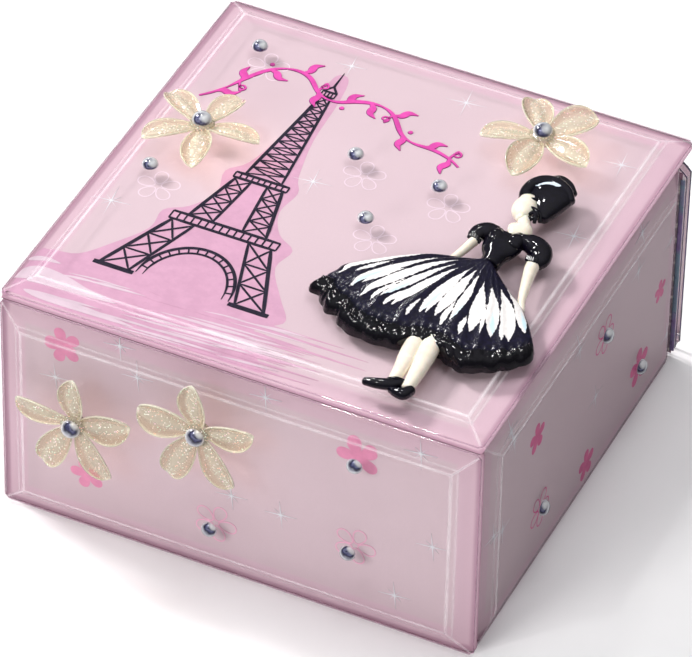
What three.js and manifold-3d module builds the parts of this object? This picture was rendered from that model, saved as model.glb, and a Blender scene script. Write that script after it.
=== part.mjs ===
// Musical ballerina jewellery box: bevelled glass panes over printed sheets on a board carcass,
// hinged mirror lid with a moulded figure, resin blossoms and domed gems outside,
// ring cushion, fold-down dancer and a pinned-cylinder movement inside.
// Millimetres, +Z up, front towards -Y, standing on z = 0.
import * as THREE from "three";
import { ConvexGeometry } from "three/addons/geometries/ConvexGeometry.js";
import { mergeVertices } from "three/addons/utils/BufferGeometryUtils.js";
import Module from "manifold-3d";

const wasm = await Module();
wasm.setup();

// ---------------------------------------------------------------- driving dimensions
const BOX_HALF_W = 76; // half width over the front pane
const RIM_Y = 75.8; // front and rear rim planes
const ORIGIN_SHIFT_Y = 5.0; // puts the origin under the middle of the bounding box
const PANE_BOTTOM = 1.0;
const PANE_TOP = 78.2;
const RIM_T = 2.3; // glass thickness left at a bevelled rim
const BEVEL = 8; // bevel width
const RISE = 3; // height of the flat above the rim
const CLIP = 1.3; // clipped glass corners
const SIDE_RIM_X = 75.0;
const SIDE_RISE = 2.8;
const SIDE_Y0 = -72.8;
const SIDE_Y1 = 67.8;
const REAR_PANE_TOP = 72.5; // lower, so that the hinges sit above it
const REAR_PANE_Y = [71.2, 75.8];
const LID_UNDER = 78.8; // underside of the lid glass
const LID_RIM_T = 2.2;
const WALL_T = 4.9;
const WALL_TOP = 75.0;
const WALL_BOTTOM = 1.2;
const FELT_T = 1.0;
const BASE_Z = [12, 16];
const DECK_Z = [43.5, 45.5];
const PARTITION_Y = [-30, -28];
const HINGE_AXIS = { y: 74.5, z: 76.6 };
const HINGE_X = 45;
const PIN_R = 0.75;
const KNUCKLE_R = 1.6;
const DANCER = { x: 0, y: 20, z: 57.5 };
const BARREL = { x: -24, y: 20, teeth: 40, module: 0.8 };
const PEGS = { count: 32, r: 11.2, size: 0.35 };
const DRUM = { z: 34.8, teeth: 20, r: 7, endTeeth: 30, endModule: 0.5 };
const FLY = { x: -14, teeth: 10 };
const ROD_Y = 62;

// ---------------------------------------------------------------- materials
const mat = (color, roughness, metalness = 0) =>
  new THREE.MeshStandardMaterial({ color, roughness, metalness });
const GLASS = mat(0xe6d5e4, 0.05);
const FILM = mat(0xe0b9cc, 0.6);
const BOARD = mat(0xd9b6c6, 0.85);
const FELT = mat(0x2f2b33, 0.95);
const VELVET = mat(0xd58fb0, 0.95);
const MIRROR = mat(0xdde3e6, 0.03, 1);
const STEEL = mat(0xb9bcc0, 0.3, 1);
const BRASS = mat(0xc9a14e, 0.3, 1);
const RESIN = mat(0xeae2bd, 0.2);
const GEM = mat(0x9aa3bd, 0.08, 0.6);
const PAINT = mat(0x14122b, 0.15);
const PLASTIC = mat(0xf2e9e4, 0.35);

// ---------------------------------------------------------------- helpers
const V = (x, y, z) => new THREE.Vector3(x, y, z);
const M4 = () => new THREE.Matrix4();

function bare(geometry) {
  const g = geometry.clone();
  for (const n of Object.keys(g.attributes)) if (n !== "position") g.deleteAttribute(n);
  return mergeVertices(g, 1e-5);
}
function solid(geometry) {
  const g = bare(geometry);
  return new wasm.Manifold(
    new wasm.Mesh({
      numProp: 3,
      vertProperties: Float32Array.from(g.attributes.position.array),
      triVerts: Uint32Array.from(g.index.array),
    }),
  );
}
function back(m) {
  const mesh = m.getMesh();
  const g = new THREE.BufferGeometry();
  g.setAttribute("position", new THREE.BufferAttribute(Float32Array.from(mesh.vertProperties), 3));
  g.setIndex(new THREE.BufferAttribute(Uint32Array.from(mesh.triVerts), 1));
  g.computeVertexNormals();
  return g;
}
function join(...geometries) {
  let s = solid(geometries[0]);
  for (const g of geometries.slice(1)) s = s.add(solid(g));
  return back(s);
}
function cut(geometry, ...tools) {
  let s = solid(geometry);
  for (const t of tools) s = s.subtract(solid(t));
  return back(s);
}
const box = (x0, x1, y0, y1, z0, z1) =>
  new THREE.BoxGeometry(x1 - x0, y1 - y0, z1 - z0).translate(
    (x0 + x1) / 2,
    (y0 + y1) / 2,
    (z0 + z1) / 2,
  );
const cylZ = (x, y, r, z0, z1, n = 20, r2 = r) =>
  new THREE.CylinderGeometry(r2, r, z1 - z0, n).rotateX(Math.PI / 2).translate(x, y, (z0 + z1) / 2);
const cylX = (x0, x1, y, z, r, n = 20) =>
  new THREE.CylinderGeometry(r, r, x1 - x0, n).rotateZ(Math.PI / 2).translate((x0 + x1) / 2, y, z);
const cylY = (x, z, r, y0, y1, n = 20) =>
  new THREE.CylinderGeometry(r, r, y1 - y0, n).translate(x, (y0 + y1) / 2, z);
const ball = (x, y, z, rx, ry, rz, w = 14, h = 9) =>
  new THREE.SphereGeometry(1, w, h).scale(rx, ry, rz).translate(x, y, z);
function limb(a, b, ra, rb, n = 10) {
  // round-ended rod from a to b
  const pts = [];
  for (const [c, r] of [
    [a, ra],
    [b, rb],
  ])
    for (let i = 0; i <= 6; i++)
      for (let j = 0; j < n; j++) {
        const th = (Math.PI * i) / 6,
          ph = (2 * Math.PI * j) / n;
        pts.push(
          V(
            c[0] + r * Math.sin(th) * Math.cos(ph),
            c[1] + r * Math.sin(th) * Math.sin(ph),
            c[2] + r * Math.cos(th),
          ),
        );
      }
  return new ConvexGeometry(pts);
}
function prism(points, z0, z1) {
  const s = new THREE.Shape(points.map((p) => new THREE.Vector2(p[0], p[1])));
  return new THREE.ExtrudeGeometry(s, { depth: z1 - z0, bevelEnabled: false }).translate(0, 0, z0);
}
// pane lying in XY: back at z = 0, rim at `rim`, flat at rim + rise
function bevelPane(w, h, rim, rise, bevel, clip) {
  const p = [];
  for (const [sx, sy] of [
    [-1, -1],
    [1, -1],
    [1, 1],
    [-1, 1],
  ]) {
    for (const z of [0, rim]) {
      p.push(V(sx * (w / 2 - clip), (sy * h) / 2, z), V((sx * w) / 2, sy * (h / 2 - clip), z));
    }
    p.push(V(sx * (w / 2 - bevel), sy * (h / 2 - bevel), rim + rise));
  }
  return new ConvexGeometry(p);
}
function gearPoints(z, m, phase, thick = 0.8) {
  const r = (z * m) / 2,
    tip = r + 0.9 * m,
    root = r - 1.2 * m,
    half = (Math.PI / (2 * z)) * thick;
  const out = [];
  for (let i = 0; i < z; i++) {
    const c = phase + (2 * Math.PI * i) / z;
    for (const [rr, a] of [
      [root, -half * 1.5],
      [r, -half],
      [tip, -half * 0.45],
      [tip, half * 0.45],
      [r, half],
      [root, half * 1.5],
    ])
      out.push([rr * Math.cos(c + a), rr * Math.sin(c + a)]);
  }
  return out;
}
const root = new THREE.Group();
root.position.y = ORIGIN_SHIFT_Y;
const group = (parent, x = 0, y = 0, z = 0) => {
  const g = new THREE.Group();
  g.position.set(x, y, z);
  parent.add(g);
  return g;
};
function put(parent, name, geometry, material, x = 0, y = 0, z = 0, rx = 0, ry = 0, rz = 0) {
  const m = new THREE.Mesh(geometry, material);
  m.name = name;
  m.position.set(x, y, z);
  m.rotation.set(rx, ry, rz);
  parent.add(m);
  return m;
}
const H = Math.PI / 2;

// ================================================================ case
const casing = group(root);
const paneH = PANE_TOP - PANE_BOTTOM,
  paneZ = (PANE_TOP + PANE_BOTTOM) / 2;

put(
  casing,
  "front_glass",
  bevelPane(2 * BOX_HALF_W, paneH, RIM_T, RISE, BEVEL, CLIP),
  GLASS,
  0,
  -RIM_Y + RIM_T,
  paneZ,
  H,
);
put(
  casing,
  "rear_glass",
  bevelPane(2 * BOX_HALF_W, REAR_PANE_TOP - PANE_BOTTOM, 3.8, 0.8, 1.2, 2.4),
  GLASS,
  0,
  REAR_PANE_Y[0],
  (REAR_PANE_TOP + PANE_BOTTOM) / 2,
  -H,
);
const sideLen = SIDE_Y1 - SIDE_Y0,
  sideMid = (SIDE_Y0 + SIDE_Y1) / 2;
// width runs along Z, height along Y for the side panes
put(
  casing,
  "right_glass",
  bevelPane(paneH, sideLen, RIM_T, SIDE_RISE, BEVEL, CLIP),
  GLASS,
  SIDE_RIM_X - RIM_T,
  sideMid,
  paneZ,
  0,
  H,
);
put(
  casing,
  "left_glass",
  bevelPane(paneH, sideLen, RIM_T, SIDE_RISE, BEVEL, CLIP),
  GLASS,
  -SIDE_RIM_X + RIM_T,
  sideMid,
  paneZ,
  0,
  -H,
);
const inX = SIDE_RIM_X - RIM_T; // 72.7
put(casing, "front_print", box(-75.6, 75.6, -0.15, 0.15, -38.4, 38.4), FILM, 0, -73.25, paneZ);
put(
  casing,
  "rear_print",
  box(-75.0, 75.0, 70.85, 71.1, PANE_BOTTOM + 0.3, REAR_PANE_TOP - 0.6),
  FILM,
);
put(casing, "right_print", box(-0.15, 0.15, -70.1, 70.1, -38.4, 38.4), FILM, inX - 0.25, sideMid, paneZ);
put(casing, "left_print", box(-0.15, 0.15, -70.1, 70.1, -38.4, 38.4), FILM, -inX + 0.25, sideMid, paneZ);

// board carcass; the rear wall is mortised for the hinge leaves and the base is let in between the walls
put(casing, "front_wall", box(-72.2, 72.2, -73.0, -68.2, WALL_BOTTOM, WALL_TOP), BOARD);
{
  const leafPockets = [-HINGE_X, HINGE_X].map((x) => box(x - 11.3, x + 11.3, 69.6, 71.5, 63.7, 80));
  put(casing, "rear_wall", cut(box(-72.2, 72.2, 65.8, 70.7, WALL_BOTTOM, WALL_TOP), ...leafPockets), BOARD);
}
put(casing, "right_wall", box(72.2 - WALL_T, 72.2, -68.0, 65.6, WALL_BOTTOM, WALL_TOP), BOARD);
put(casing, "left_wall", box(-72.2, -72.2 + WALL_T, -68.0, 65.6, WALL_BOTTOM, WALL_TOP), BOARD);
put(
  casing,
  "base_board",
  cut(box(-67.1, 67.1, -67.9, 65.5, ...BASE_Z), cylZ(BARREL.x, BARREL.y, 4, 11, 17, 24)),
  BOARD,
);
put(
  casing,
  "base_felt",
  cut(box(-71.5, 71.5, -72.3, 70.0, 0, FELT_T), box(-66.5, 66.5, -67.3, 65.0, -1, 2)),
  FELT,
);

// inside: flocked tray with its front step, ring cushion
put(
  casing,
  "deck_tray",
  cut(
    join(
      box(-66.9, 66.9, PARTITION_Y[1] - 0.5, 65.4, ...DECK_Z),
      box(-66.9, 66.9, ...PARTITION_Y, BASE_Z[1] + 0.2, DECK_Z[1]),
    ),
    cylZ(DANCER.x, DANCER.y, 3.5, 43, 46, 24),
    cylZ(FLY.x, ROD_Y, 1.7, 43, 46, 16),
  ),
  VELVET,
);
{
  // three padded rolls side by side on one backing
  const s = new THREE.Shape();
  const y0 = -67.7,
    pitch = 12.3,
    z0 = BASE_Z[1] + 0.3,
    zb = 22;
  s.moveTo(y0, z0);
  s.lineTo(y0 + 3 * pitch, z0);
  s.lineTo(y0 + 3 * pitch, zb);
  for (let k = 2; k >= 0; k--)
    for (let i = 1; i <= 8; i++) {
      const a = (Math.PI * i) / 8;
      s.lineTo(
        y0 + pitch * (k + 0.5) + (pitch / 2) * Math.cos(a),
        zb + 7.5 * Math.sin(a) + (i === 8 && k > 0 ? 0.01 : 0),
      );
    }
  const g = new THREE.ExtrudeGeometry(s, { depth: 132, bevelEnabled: false, curveSegments: 4 });
  // shape x -> world y, shape y -> world z, depth -> world x
  g.applyMatrix4(M4().set(0, 0, 1, -66, 1, 0, 0, 0, 0, 1, 0, 0, 0, 0, 0, 1));
  put(casing, "ring_cushion", g, VELVET);
}

// ================================================================ hinges
const lid = group(root, 0, HINGE_AXIS.y, HINGE_AXIS.z);
const hy = HINGE_AXIS.y,
  hz = HINGE_AXIS.z;
for (const [side, sx] of [
  ["left", -1],
  ["right", 1],
]) {
  const cx = sx * HINGE_X;
  const bore = cylX(-12, 12, hy, hz, PIN_R + 0.2, 16);
  const bodyLeaf = cut(
    join(
      box(-11, 11, 69.9, 70.7, 64, 74.9),
      box(-11, -5.2, 70.2, 73.4, 73.0, 74.9),
      box(5.2, 11, 70.2, 73.4, 73.0, 74.9),
      box(-11, -5.2, 72.9, 74.5, 73.0, 76.6),
      box(5.2, 11, 72.9, 74.5, 73.0, 76.6),
      cylX(-11, -5.2, hy, hz, KNUCKLE_R),
      cylX(5.2, 11, hy, hz, KNUCKLE_R),
    ),
    bore,
  );
  put(casing, `hinge_${side}_body_leaf`, bodyLeaf, BRASS, cx);
  const lidLeaf = cut(
    join(box(-11, 11, 59.5, 70.2, 75.35, 76.15), box(-4.9, 4.9, 70, 74.4, 75.35, 76.15), cylX(-4.9, 4.9, hy, hz, KNUCKLE_R)),
    bore,
  );
  put(lid, `hinge_${side}_lid_leaf`, lidLeaf.translate(0, -hy, -hz), BRASS, cx);
  put(
    casing,
    `hinge_${side}_pin`,
    join(cylX(-11.2, 11.2, 0, 0, PIN_R, 16), cylX(-11.9, -11.1, 0, 0, 1.3, 16), cylX(11.1, 11.9, 0, 0, 1.3, 16)),
    STEEL,
    cx,
    hy,
    hz,
  );
}

// ================================================================ lid
const lidIn = group(lid, 0, -hy, -hz); // back to the case frame
put(
  lidIn,
  "lid_glass",
  bevelPane(2 * BOX_HALF_W, 2 * RIM_Y, LID_RIM_T, RISE, BEVEL, CLIP),
  GLASS,
  0,
  0,
  LID_UNDER,
);
put(lidIn, "lid_print", box(-75.7, 75.7, -75.5, 75.5, -0.15, 0.15), FILM, 0, 0, LID_UNDER - 0.2);
put(
  lidIn,
  "lid_board",
  cut(
    box(-71.8, 71.8, -72.5, 70.2, 75.3, 78.4),
    ...[-HINGE_X, HINGE_X].map((x) => box(x - 11.3, x + 11.3, 59.2, 75, 75, 76.45)),
  ),
  BOARD,
);
put(lidIn, "lid_mirror", box(-58, 58, -60, 57, 73.3, 75.0), MIRROR);

// ---------------------------------------------------------------- domed gems
function dome(r, h, n = 16) {
  const pts = [new THREE.Vector2(0, 0), new THREE.Vector2(r * 0.96, 0), new THREE.Vector2(r, 0.35)];
  for (let i = 1; i <= 5; i++) {
    const a = (H * i) / 5;
    pts.push(new THREE.Vector2(i === 5 ? 0 : r * Math.cos(a), 0.35 + (h - 0.35) * Math.sin(a)));
  }
  return new THREE.LatheGeometry(pts, n).rotateX(H);
}
const LID_TOP = LID_UNDER + LID_RIM_T + RISE;
const FRONT_FLAT = -RIM_Y - RISE;
const SIDE_FLAT = SIDE_RIM_X + SIDE_RISE;
[
  [-56.8, 55.2],
  [-61.3, -9.1],
  [-9.3, 21.9],
  [18.9, 19.4],
  [5.7, -3.1],
].forEach(([x, y], i) => put(lidIn, `lid_gem_${i + 1}`, dome(2.5, 2.2), GEM, x, y, LID_TOP + 0.05));
[
  [38.5, 61.3],
  [-7.2, 18.1],
  [37.0, 27.1],
].forEach(([x, z], i) =>
  put(casing, `front_gem_${i + 1}`, dome(2.5, 2.2), GEM, x, FRONT_FLAT - 0.05, z + PANE_BOTTOM, H),
);
const SIDE_GEMS = [
  [9.3, 56.6],
  [-33.6, 24.0],
  [38.1, 21.8],
];
SIDE_GEMS.forEach(([y, z], i) => {
  put(casing, `right_gem_${i + 1}`, dome(2.5, 2.2), GEM, SIDE_FLAT + 0.05, y, z + PANE_BOTTOM, 0, H);
  put(casing, `left_gem_${i + 1}`, dome(2.5, 2.2), GEM, -SIDE_FLAT - 0.05, y, z + PANE_BOTTOM, 0, -H);
});

// ---------------------------------------------------------------- resin blossoms: five cupped petals round a boss
function blossom(angles, lengths) {
  const parts = [cylZ(0, 0, 3.2, 0, 2.6, 16)];
  angles.forEach((a, i) => {
    const L = lengths[i];
    const g = new THREE.SphereGeometry(1, 10, 7).scale(L / 2, 4.7, 1.0);
    g.translate(L / 2 + 0.8, 0, 0);
    g.rotateY(-0.26);
    g.translate(0, 0, 1.9);
    g.rotateZ(a);
    parts.push(g);
  });
  return join(...parts);
}
const deg = Math.PI / 180;
const flower = (parent, name, a, L, place, gemPlace, spin = [0, 0]) => {
  put(parent, name, blossom(a.map((v) => v * deg), L), RESIN, ...place, ...spin);
  put(parent, `${name}_gem`, dome(3, 2.6), GEM, ...gemPlace, ...spin);
};
flower(lidIn, "lid_flower_left", [152, 72, -3, -70, -142], [17, 16, 18, 18.5, 18], [-54.7, 11.8, LID_TOP + 0.05], [-54.7, 11.8, LID_TOP + 3.6]);
flower(lidIn, "lid_flower_right", [124, 49, -22, -89, -156], [17, 18, 18, 20, 17], [37.4, 51.8, LID_TOP + 0.05], [37.4, 51.8, LID_TOP + 3.6]);
flower(casing, "front_flower_left", [102, 23, -50, -128, 158], [17, 17, 18, 17, 18], [-49.8, FRONT_FLAT - 0.05, 44.4], [-49.8, FRONT_FLAT - 3.6, 44.4], [H, 0]);
flower(casing, "front_flower_right", [102, 26, -45, -126, 158], [17, 17, 18, 17, 19], [-9.8, FRONT_FLAT - 0.05, 57.2], [-9.8, FRONT_FLAT - 3.6, 57.2], [H, 0]);

// ---------------------------------------------------------------- moulded figure on the lid, seen from behind
{
  const z = 0; // local: base at 0
  const skirtBase = prism(
    [
      [42.6, -7.6], [36.4, -11.0], [25.0, -17.5], [12.0, -24.0], [3.4, -31.0], [1.6, -38.5], [6.0, -41.0], [14.0, -44.6],
      [24.0, -47.6], [36.0, -49.0], [48.0, -49.2], [58.0, -47.6], [67.0, -44.0], [73.4, -38.0], [72.6, -32.0], [66.0, -22.5],
      [57.0, -13.5], [49.0, -7.6],
    ].map(([x, y]) => [x, y]).reverse(),
    z,
    2.6,
  );
  const skirtTop = new ConvexGeometry([
    ...[[43.0, -8], [48.4, -8], [60, -20], [68, -33], [62, -43], [46, -46], [28, -44.5], [10, -37.5], [20, -24], [33, -14]].map(([x, y]) => V(x, y, 2.0)),
    ...[[44.5, -10], [47.5, -10], [56, -22], [60, -35], [46, -41], [28, -39], [18, -33], [33, -19]].map(([x, y]) => V(x, y, 5.6)),
  ]);
  const torso = new ConvexGeometry([
    ...[[43, -9], [48.5, -9], [51.6, 3.5], [51, 11], [37, 11], [38, 3]].map(([x, y]) => V(x, y, z)),
    ...[[44, -8.6], [47.6, -8.6], [50, 3.5], [49, 10], [39, 10], [40, 3]].map(([x, y]) => V(x, y, 4.6)),
  ]);
  const figure = join(
    skirtBase,
    skirtTop,
    torso,
    limb([36.6, 9.2, 2.6], [35.0, 6.2, 2.4], 3.4, 2.6),
    limb([54.0, 9.4, 2.6], [57.4, 4.8, 2.4], 4.0, 2.8),
    limb([36.2, 6.0, 2.3], [36.4, -4.6, 2.2], 2.2, 2.0),
    limb([56.4, 5.0, 2.3], [61.5, -15.0, 2.2], 2.3, 1.9),
    limb([47.2, 12, 2.6], [46.0, 17.5, 2.8], 3.0, 2.6),
    ball(45.6, 25.0, 3.6, 6.6, 8.6, 4.4, 12, 8),
    ball(49.6, 29.0, 3.6, 6.6, 7.2, 4.2, 12, 8),
    limb([43.4, -45, 2.6], [44.2, -58.5, 2.2], 3.6, 2.4),
    limb([49.0, -45, 2.8], [47.4, -60.5, 2.3], 3.4, 2.2),
    limb([44.4, -60.4, 2.2], [36.2, -64.2, 1.6], 2.2, 1.6),
    limb([46.6, -62.8, 2.3], [49.2, -65.6, 1.6], 2.3, 1.7),
  );
  // flat back against the glass
  put(lidIn, "lid_figure", cut(figure, box(-80, 90, -90, 60, -9, 0)), PAINT, 0, 0, LID_TOP + 0.05);
}

// ================================================================ dancer
const turn = group(root, DANCER.x, DANCER.y, 0);
const spurTurn = gearPoints(20, BARREL.module, Math.PI + Math.PI + Math.PI / 20);
put(
  turn,
  "dancer_turntable",
  join(
    new THREE.LatheGeometry(
      [
        [0, 17.2], [1.2, 17.2], [1.2, 19.2], [2.2, 19.2], [2.2, 45.9], [11, 45.9], [11.4, 46.4], [11.4, 47.4], [10.6, 48], [0, 48],
      ].map(([r, h]) => new THREE.Vector2(r, h)),
      32,
    ).rotateX(H),
    new ConvexGeometry([V(3.3, -2.6, 47.8), V(5.1, -2.6, 47.8), V(3.3, 2.6, 47.8), V(5.1, 2.6, 47.8), V(3.3, -1.9, 59.4), V(5.1, -1.9, 59.4), V(3.3, 1.9, 59.4), V(5.1, 1.9, 59.4)]),
    new ConvexGeometry([V(-3.3, -2.6, 47.8), V(-5.1, -2.6, 47.8), V(-3.3, 2.6, 47.8), V(-5.1, 2.6, 47.8), V(-3.3, -1.9, 59.4), V(-5.1, -1.9, 59.4), V(-3.3, 1.9, 59.4), V(-5.1, 1.9, 59.4)]),
    cylX(-4, 4, 0, DANCER.z, 0.9, 14),
  ),
  PLASTIC,
);
put(turn, "dancer_gear", cut(prism(spurTurn, 19.5, 22.1), cylZ(0, 0, 2.45, 19, 23, 20)), BRASS);
{
  const dancer = group(turn, 0, 0, DANCER.z);
  // built standing on the fold pin, stored lying forwards
  const tutu = new THREE.LatheGeometry(
    [[0, 16.2], [4, 16.0], [10.6, 17.4], [10.8, 18.0], [6, 19.2], [2.6, 20.4], [0, 20.4]].map(([r, h]) => new THREE.Vector2(r, h)),
    28,
  ).rotateX(H);
  const figure = cut(
    join(
      cylX(-2.9, 2.9, 0, 0, 2.4, 18),
      limb([0, 0, 2.2], [-0.5, 0, 9.5], 1.1, 1.4, 10),
      limb([-0.5, 0, 9.5], [0.2, 0, 16.6], 1.5, 2.0, 10),
      limb([-0.5, -1.2, 9.8], [1.8, 0.2, 16.6], 1.2, 1.8, 10),
      tutu,
      limb([0, 0, 20], [0, 0, 26.2], 2.0, 2.5, 12),
      limb([-2.2, 0, 27.0], [2.2, 0, 27.0], 1.5, 1.5, 10),
      limb([0, 0, 27], [0, 0, 30.5], 1.1, 1.0, 10),
      ball(0, 0, 33.2, 2.7, 2.9, 3.4, 14, 10),
      ball(0, 1.4, 36.2, 1.5, 1.6, 1.5, 10, 8),
      limb([-2.6, 0, 27.2], [-5.2, -0.5, 33.2], 0.95, 0.8, 8),
      limb([-5.2, -0.5, 33.2], [-0.9, -0.9, 40.4], 0.8, 0.6, 8),
      limb([2.6, 0, 27.2], [5.2, -0.5, 33.2], 0.95, 0.8, 8),
      limb([5.2, -0.5, 33.2], [0.9, -0.9, 40.4], 0.8, 0.6, 8),
    ),
    cylX(-4, 4, 0, 0, 1.2, 14),
  );
  put(dancer, "dancer_figure", figure, PLASTIC, 0, 0, 0, H);
}

// ================================================================ movement
put(
  casing,
  "music_bedplate",
  cut(
    join(
      box(-58, 10, 1, 64, 17, 19),
      box(-57, -47, 33, 53, 18.9, 34.2), // comb block
      box(-47.5, -43.2, 26.4, 28.6, 18.9, 37), // front drum bearing
      box(-47.5, -21.5, 26.4, 28.6, 32.4, 37),
      box(-29, -9.5, 56.9, 58.3, 18.9, 38.2), // rear bearing plate
      box(-17, -11, 50.6, 52.0, 18.9, 37.6), // fly front bearing
    ),
    cylZ(BARREL.x, BARREL.y, 2.0, 16, 20, 18),
    cylZ(DANCER.x, DANCER.y, 1.6, 16, 20, 18),
    cylY(BARREL.x, DRUM.z, 1.35, 20, 62, 16),
    cylY(FLY.x, DRUM.z, 1.15, 45, 62, 16),
  ),
  BRASS,
);
{
  // eighteen tuned tongues
  const y0 = 34,
    n = 18,
    pitch = 18 / n,
    pts = [[-56.5, y0 - 0.6], [-46, y0 - 0.6]];
  for (let i = 0; i < n; i++) {
    const a = y0 + i * pitch;
    const tip = -31.3 - 0.0;
    pts.push([-46, a + 0.12], [tip, a + 0.12], [tip, a + pitch - 0.12], [-46, a + pitch - 0.12]);
  }
  pts.push([-46, y0 + 18.6], [-56.5, y0 + 18.6]);
  put(casing, "music_comb", prism(pts, 34.5, 35.3), STEEL);
}
const barrel = group(root, BARREL.x, BARREL.y, 0);
{
  const pegs = [];
  for (let i = 0; i < PEGS.count; i++) {
    const a = H + (2 * Math.PI * i) / PEGS.count;
    pegs.push(cylZ(PEGS.r * Math.cos(a), PEGS.r * Math.sin(a), PEGS.size, 26.8, 28.5, 6));
  }
  const cup = cut(
    join(prism(gearPoints(BARREL.teeth, BARREL.module, 0), 19.6, 22), cylZ(0, 0, 12, 21.9, 27, 40)),
    cylZ(0, 0, 11, 19, 26, 40),
    cylZ(0, 0, 2.0, 25, 28, 18),
  );
  put(barrel, "spring_barrel", join(cup, ...pegs), BRASS);
  // mainspring, a flat strip wound in the barrel
  const turns = 4.5,
    steps = 96,
    inner = [],
    outer = [];
  for (let i = 0; i <= steps; i++) {
    const t = i / steps,
      a = t * turns * 2 * Math.PI,
      r = 3.4 + t * 6.6;
    inner.push([(r - 0.25) * Math.cos(a), (r - 0.25) * Math.sin(a)]);
    outer.push([(r + 0.25) * Math.cos(a), (r + 0.25) * Math.sin(a)]);
  }
  put(barrel, "mainspring", prism([...outer, ...inner.reverse()], 20, 25.5), STEEL);
}
const key = group(root, BARREL.x, BARREL.y, 0);
put(
  key,
  "winding_key",
  join(
    cylZ(0, 0, 1.6, 6, 27.6, 18),
    cylZ(0, 0, 2.8, 7.6, 10.4, 20),
    new THREE.ExtrudeGeometry(
      (() => {
        const s = new THREE.Shape();
        s.absellipse(-6.4, 0, 5.4, 3.6, 0, Math.PI * 2);
        return s;
      })(),
      { depth: 1.6, bevelEnabled: false, curveSegments: 10 },
    ).rotateX(H).translate(0, 0.8, 5.6),
    new THREE.ExtrudeGeometry(
      (() => {
        const s = new THREE.Shape();
        s.absellipse(6.4, 0, 5.4, 3.6, 0, Math.PI * 2);
        return s;
      })(),
      { depth: 1.6, bevelEnabled: false, curveSegments: 10 },
    ).rotateX(H).translate(0, 0.8, 5.6),
    box(-2.4, 2.4, -0.9, 0.9, 4, 8.5),
  ),
  BRASS,
);
const drum = group(root, BARREL.x, 0, DRUM.z);
const toY = (g, y) => g.rotateX(H).translate(0, y, 0); // prism along z -> along -y
{
  const gearFront = toY(prism(gearPoints(DRUM.teeth, (2 * DRUM.r) / DRUM.teeth, -H + Math.PI / DRUM.teeth, 0.72), 0, 2), 32.2);
  const gearEnd = toY(prism(gearPoints(DRUM.endTeeth, DRUM.endModule, 0), 0, 1.8), 55.8);
  const pins = [];
  for (let i = 0; i < 36; i++) {
    const a = i * 2.39996,
      y = 34.5 + ((i * 7) % 18);
    pins.push(
      new THREE.CylinderGeometry(0.16, 0.3, 0.9, 4).translate(0, 6.45, 0).rotateX(H).rotateY(a).translate(0, y, 0),
    );
  }
  put(
    drum,
    "music_drum",
    join(
      cylY(0, 0, 6.2, 33.2, 52.6, 28),
      cylY(0, 0, 1.0, 25.8, 58.9, 14),
      cylY(0, 0, 3.0, 31, 54.5, 16),
      gearFront,
      gearEnd,
      ...pins,
    ),
    BRASS,
  );
}
const fly = group(root, FLY.x, 0, DRUM.z);
put(
  fly,
  "governor_fly",
  join(
    cylY(0, 0, 0.8, 49.6, 63.2, 14),
    toY(prism(gearPoints(FLY.teeth, DRUM.endModule, Math.PI + Math.PI / FLY.teeth), 0, 2.0), 55.9),
    box(-4.1, 4.1, 58.8, 60.0, -0.35, 0.35),
    cylY(0, 0, 4.0, 61.5, 62.5, 24),
  ),
  STEEL,
);
const rod = group(root, FLY.x, ROD_Y, 0);
put(
  rod,
  "stop_rod",
  new THREE.LatheGeometry(
    [[0, 39.15], [1.9, 39.15], [1.9, 40.6], [1.2, 41.2], [1.2, 74.4], [0.8, 74.95], [0, 74.95]].map(([r, h]) => new THREE.Vector2(r, h)),
    20,
  ).rotateX(H),
  STEEL,
);

export default root;
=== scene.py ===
import bpy, bmesh, math, random
import numpy as np
from mathutils import Vector, Matrix, noise as mnoise


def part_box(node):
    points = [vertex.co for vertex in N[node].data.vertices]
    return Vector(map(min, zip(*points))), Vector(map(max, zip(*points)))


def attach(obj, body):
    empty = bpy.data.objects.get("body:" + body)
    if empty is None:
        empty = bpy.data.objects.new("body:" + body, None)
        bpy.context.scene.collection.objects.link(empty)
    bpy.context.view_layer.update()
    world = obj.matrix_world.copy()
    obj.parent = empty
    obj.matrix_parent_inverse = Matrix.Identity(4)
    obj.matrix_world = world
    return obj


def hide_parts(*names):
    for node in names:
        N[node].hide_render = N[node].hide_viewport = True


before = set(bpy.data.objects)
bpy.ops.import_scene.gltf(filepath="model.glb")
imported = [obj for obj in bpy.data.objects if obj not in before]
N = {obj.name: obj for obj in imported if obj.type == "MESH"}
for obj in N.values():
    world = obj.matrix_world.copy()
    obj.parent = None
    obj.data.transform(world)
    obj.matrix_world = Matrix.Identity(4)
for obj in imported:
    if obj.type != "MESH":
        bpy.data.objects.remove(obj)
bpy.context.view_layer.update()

MM = 0.001

# ------------------------------------------------------------------ places, read from the frame (mm)
def bx(node):
    a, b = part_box(node)
    return np.array(a) / MM, np.array(b) / MM

lg0, lg1 = bx("lid_glass")
fg0, fg1 = bx("front_glass")
rg0, rg1 = bx("right_glass")
lf0, lf1 = bx("left_glass")
bg0, bg1 = bx("rear_glass")
CX, CY = (lg0[0] + lg1[0]) / 2, (lg0[1] + lg1[1]) / 2      # middle of the box
LIDTOP = lg1[2]
FRONTY = fg0[1]
RIGHTX = rg1[0]
LEFTX = lf0[0]
Z0 = fg0[2]                                               # bottom edge of the panes
BEV = 8.0

def W(x, y, z):
    """box-centred millimetres to the frame's metres"""
    return Vector(((x + CX) * MM, (y + CY) * MM, z * MM))

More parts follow.
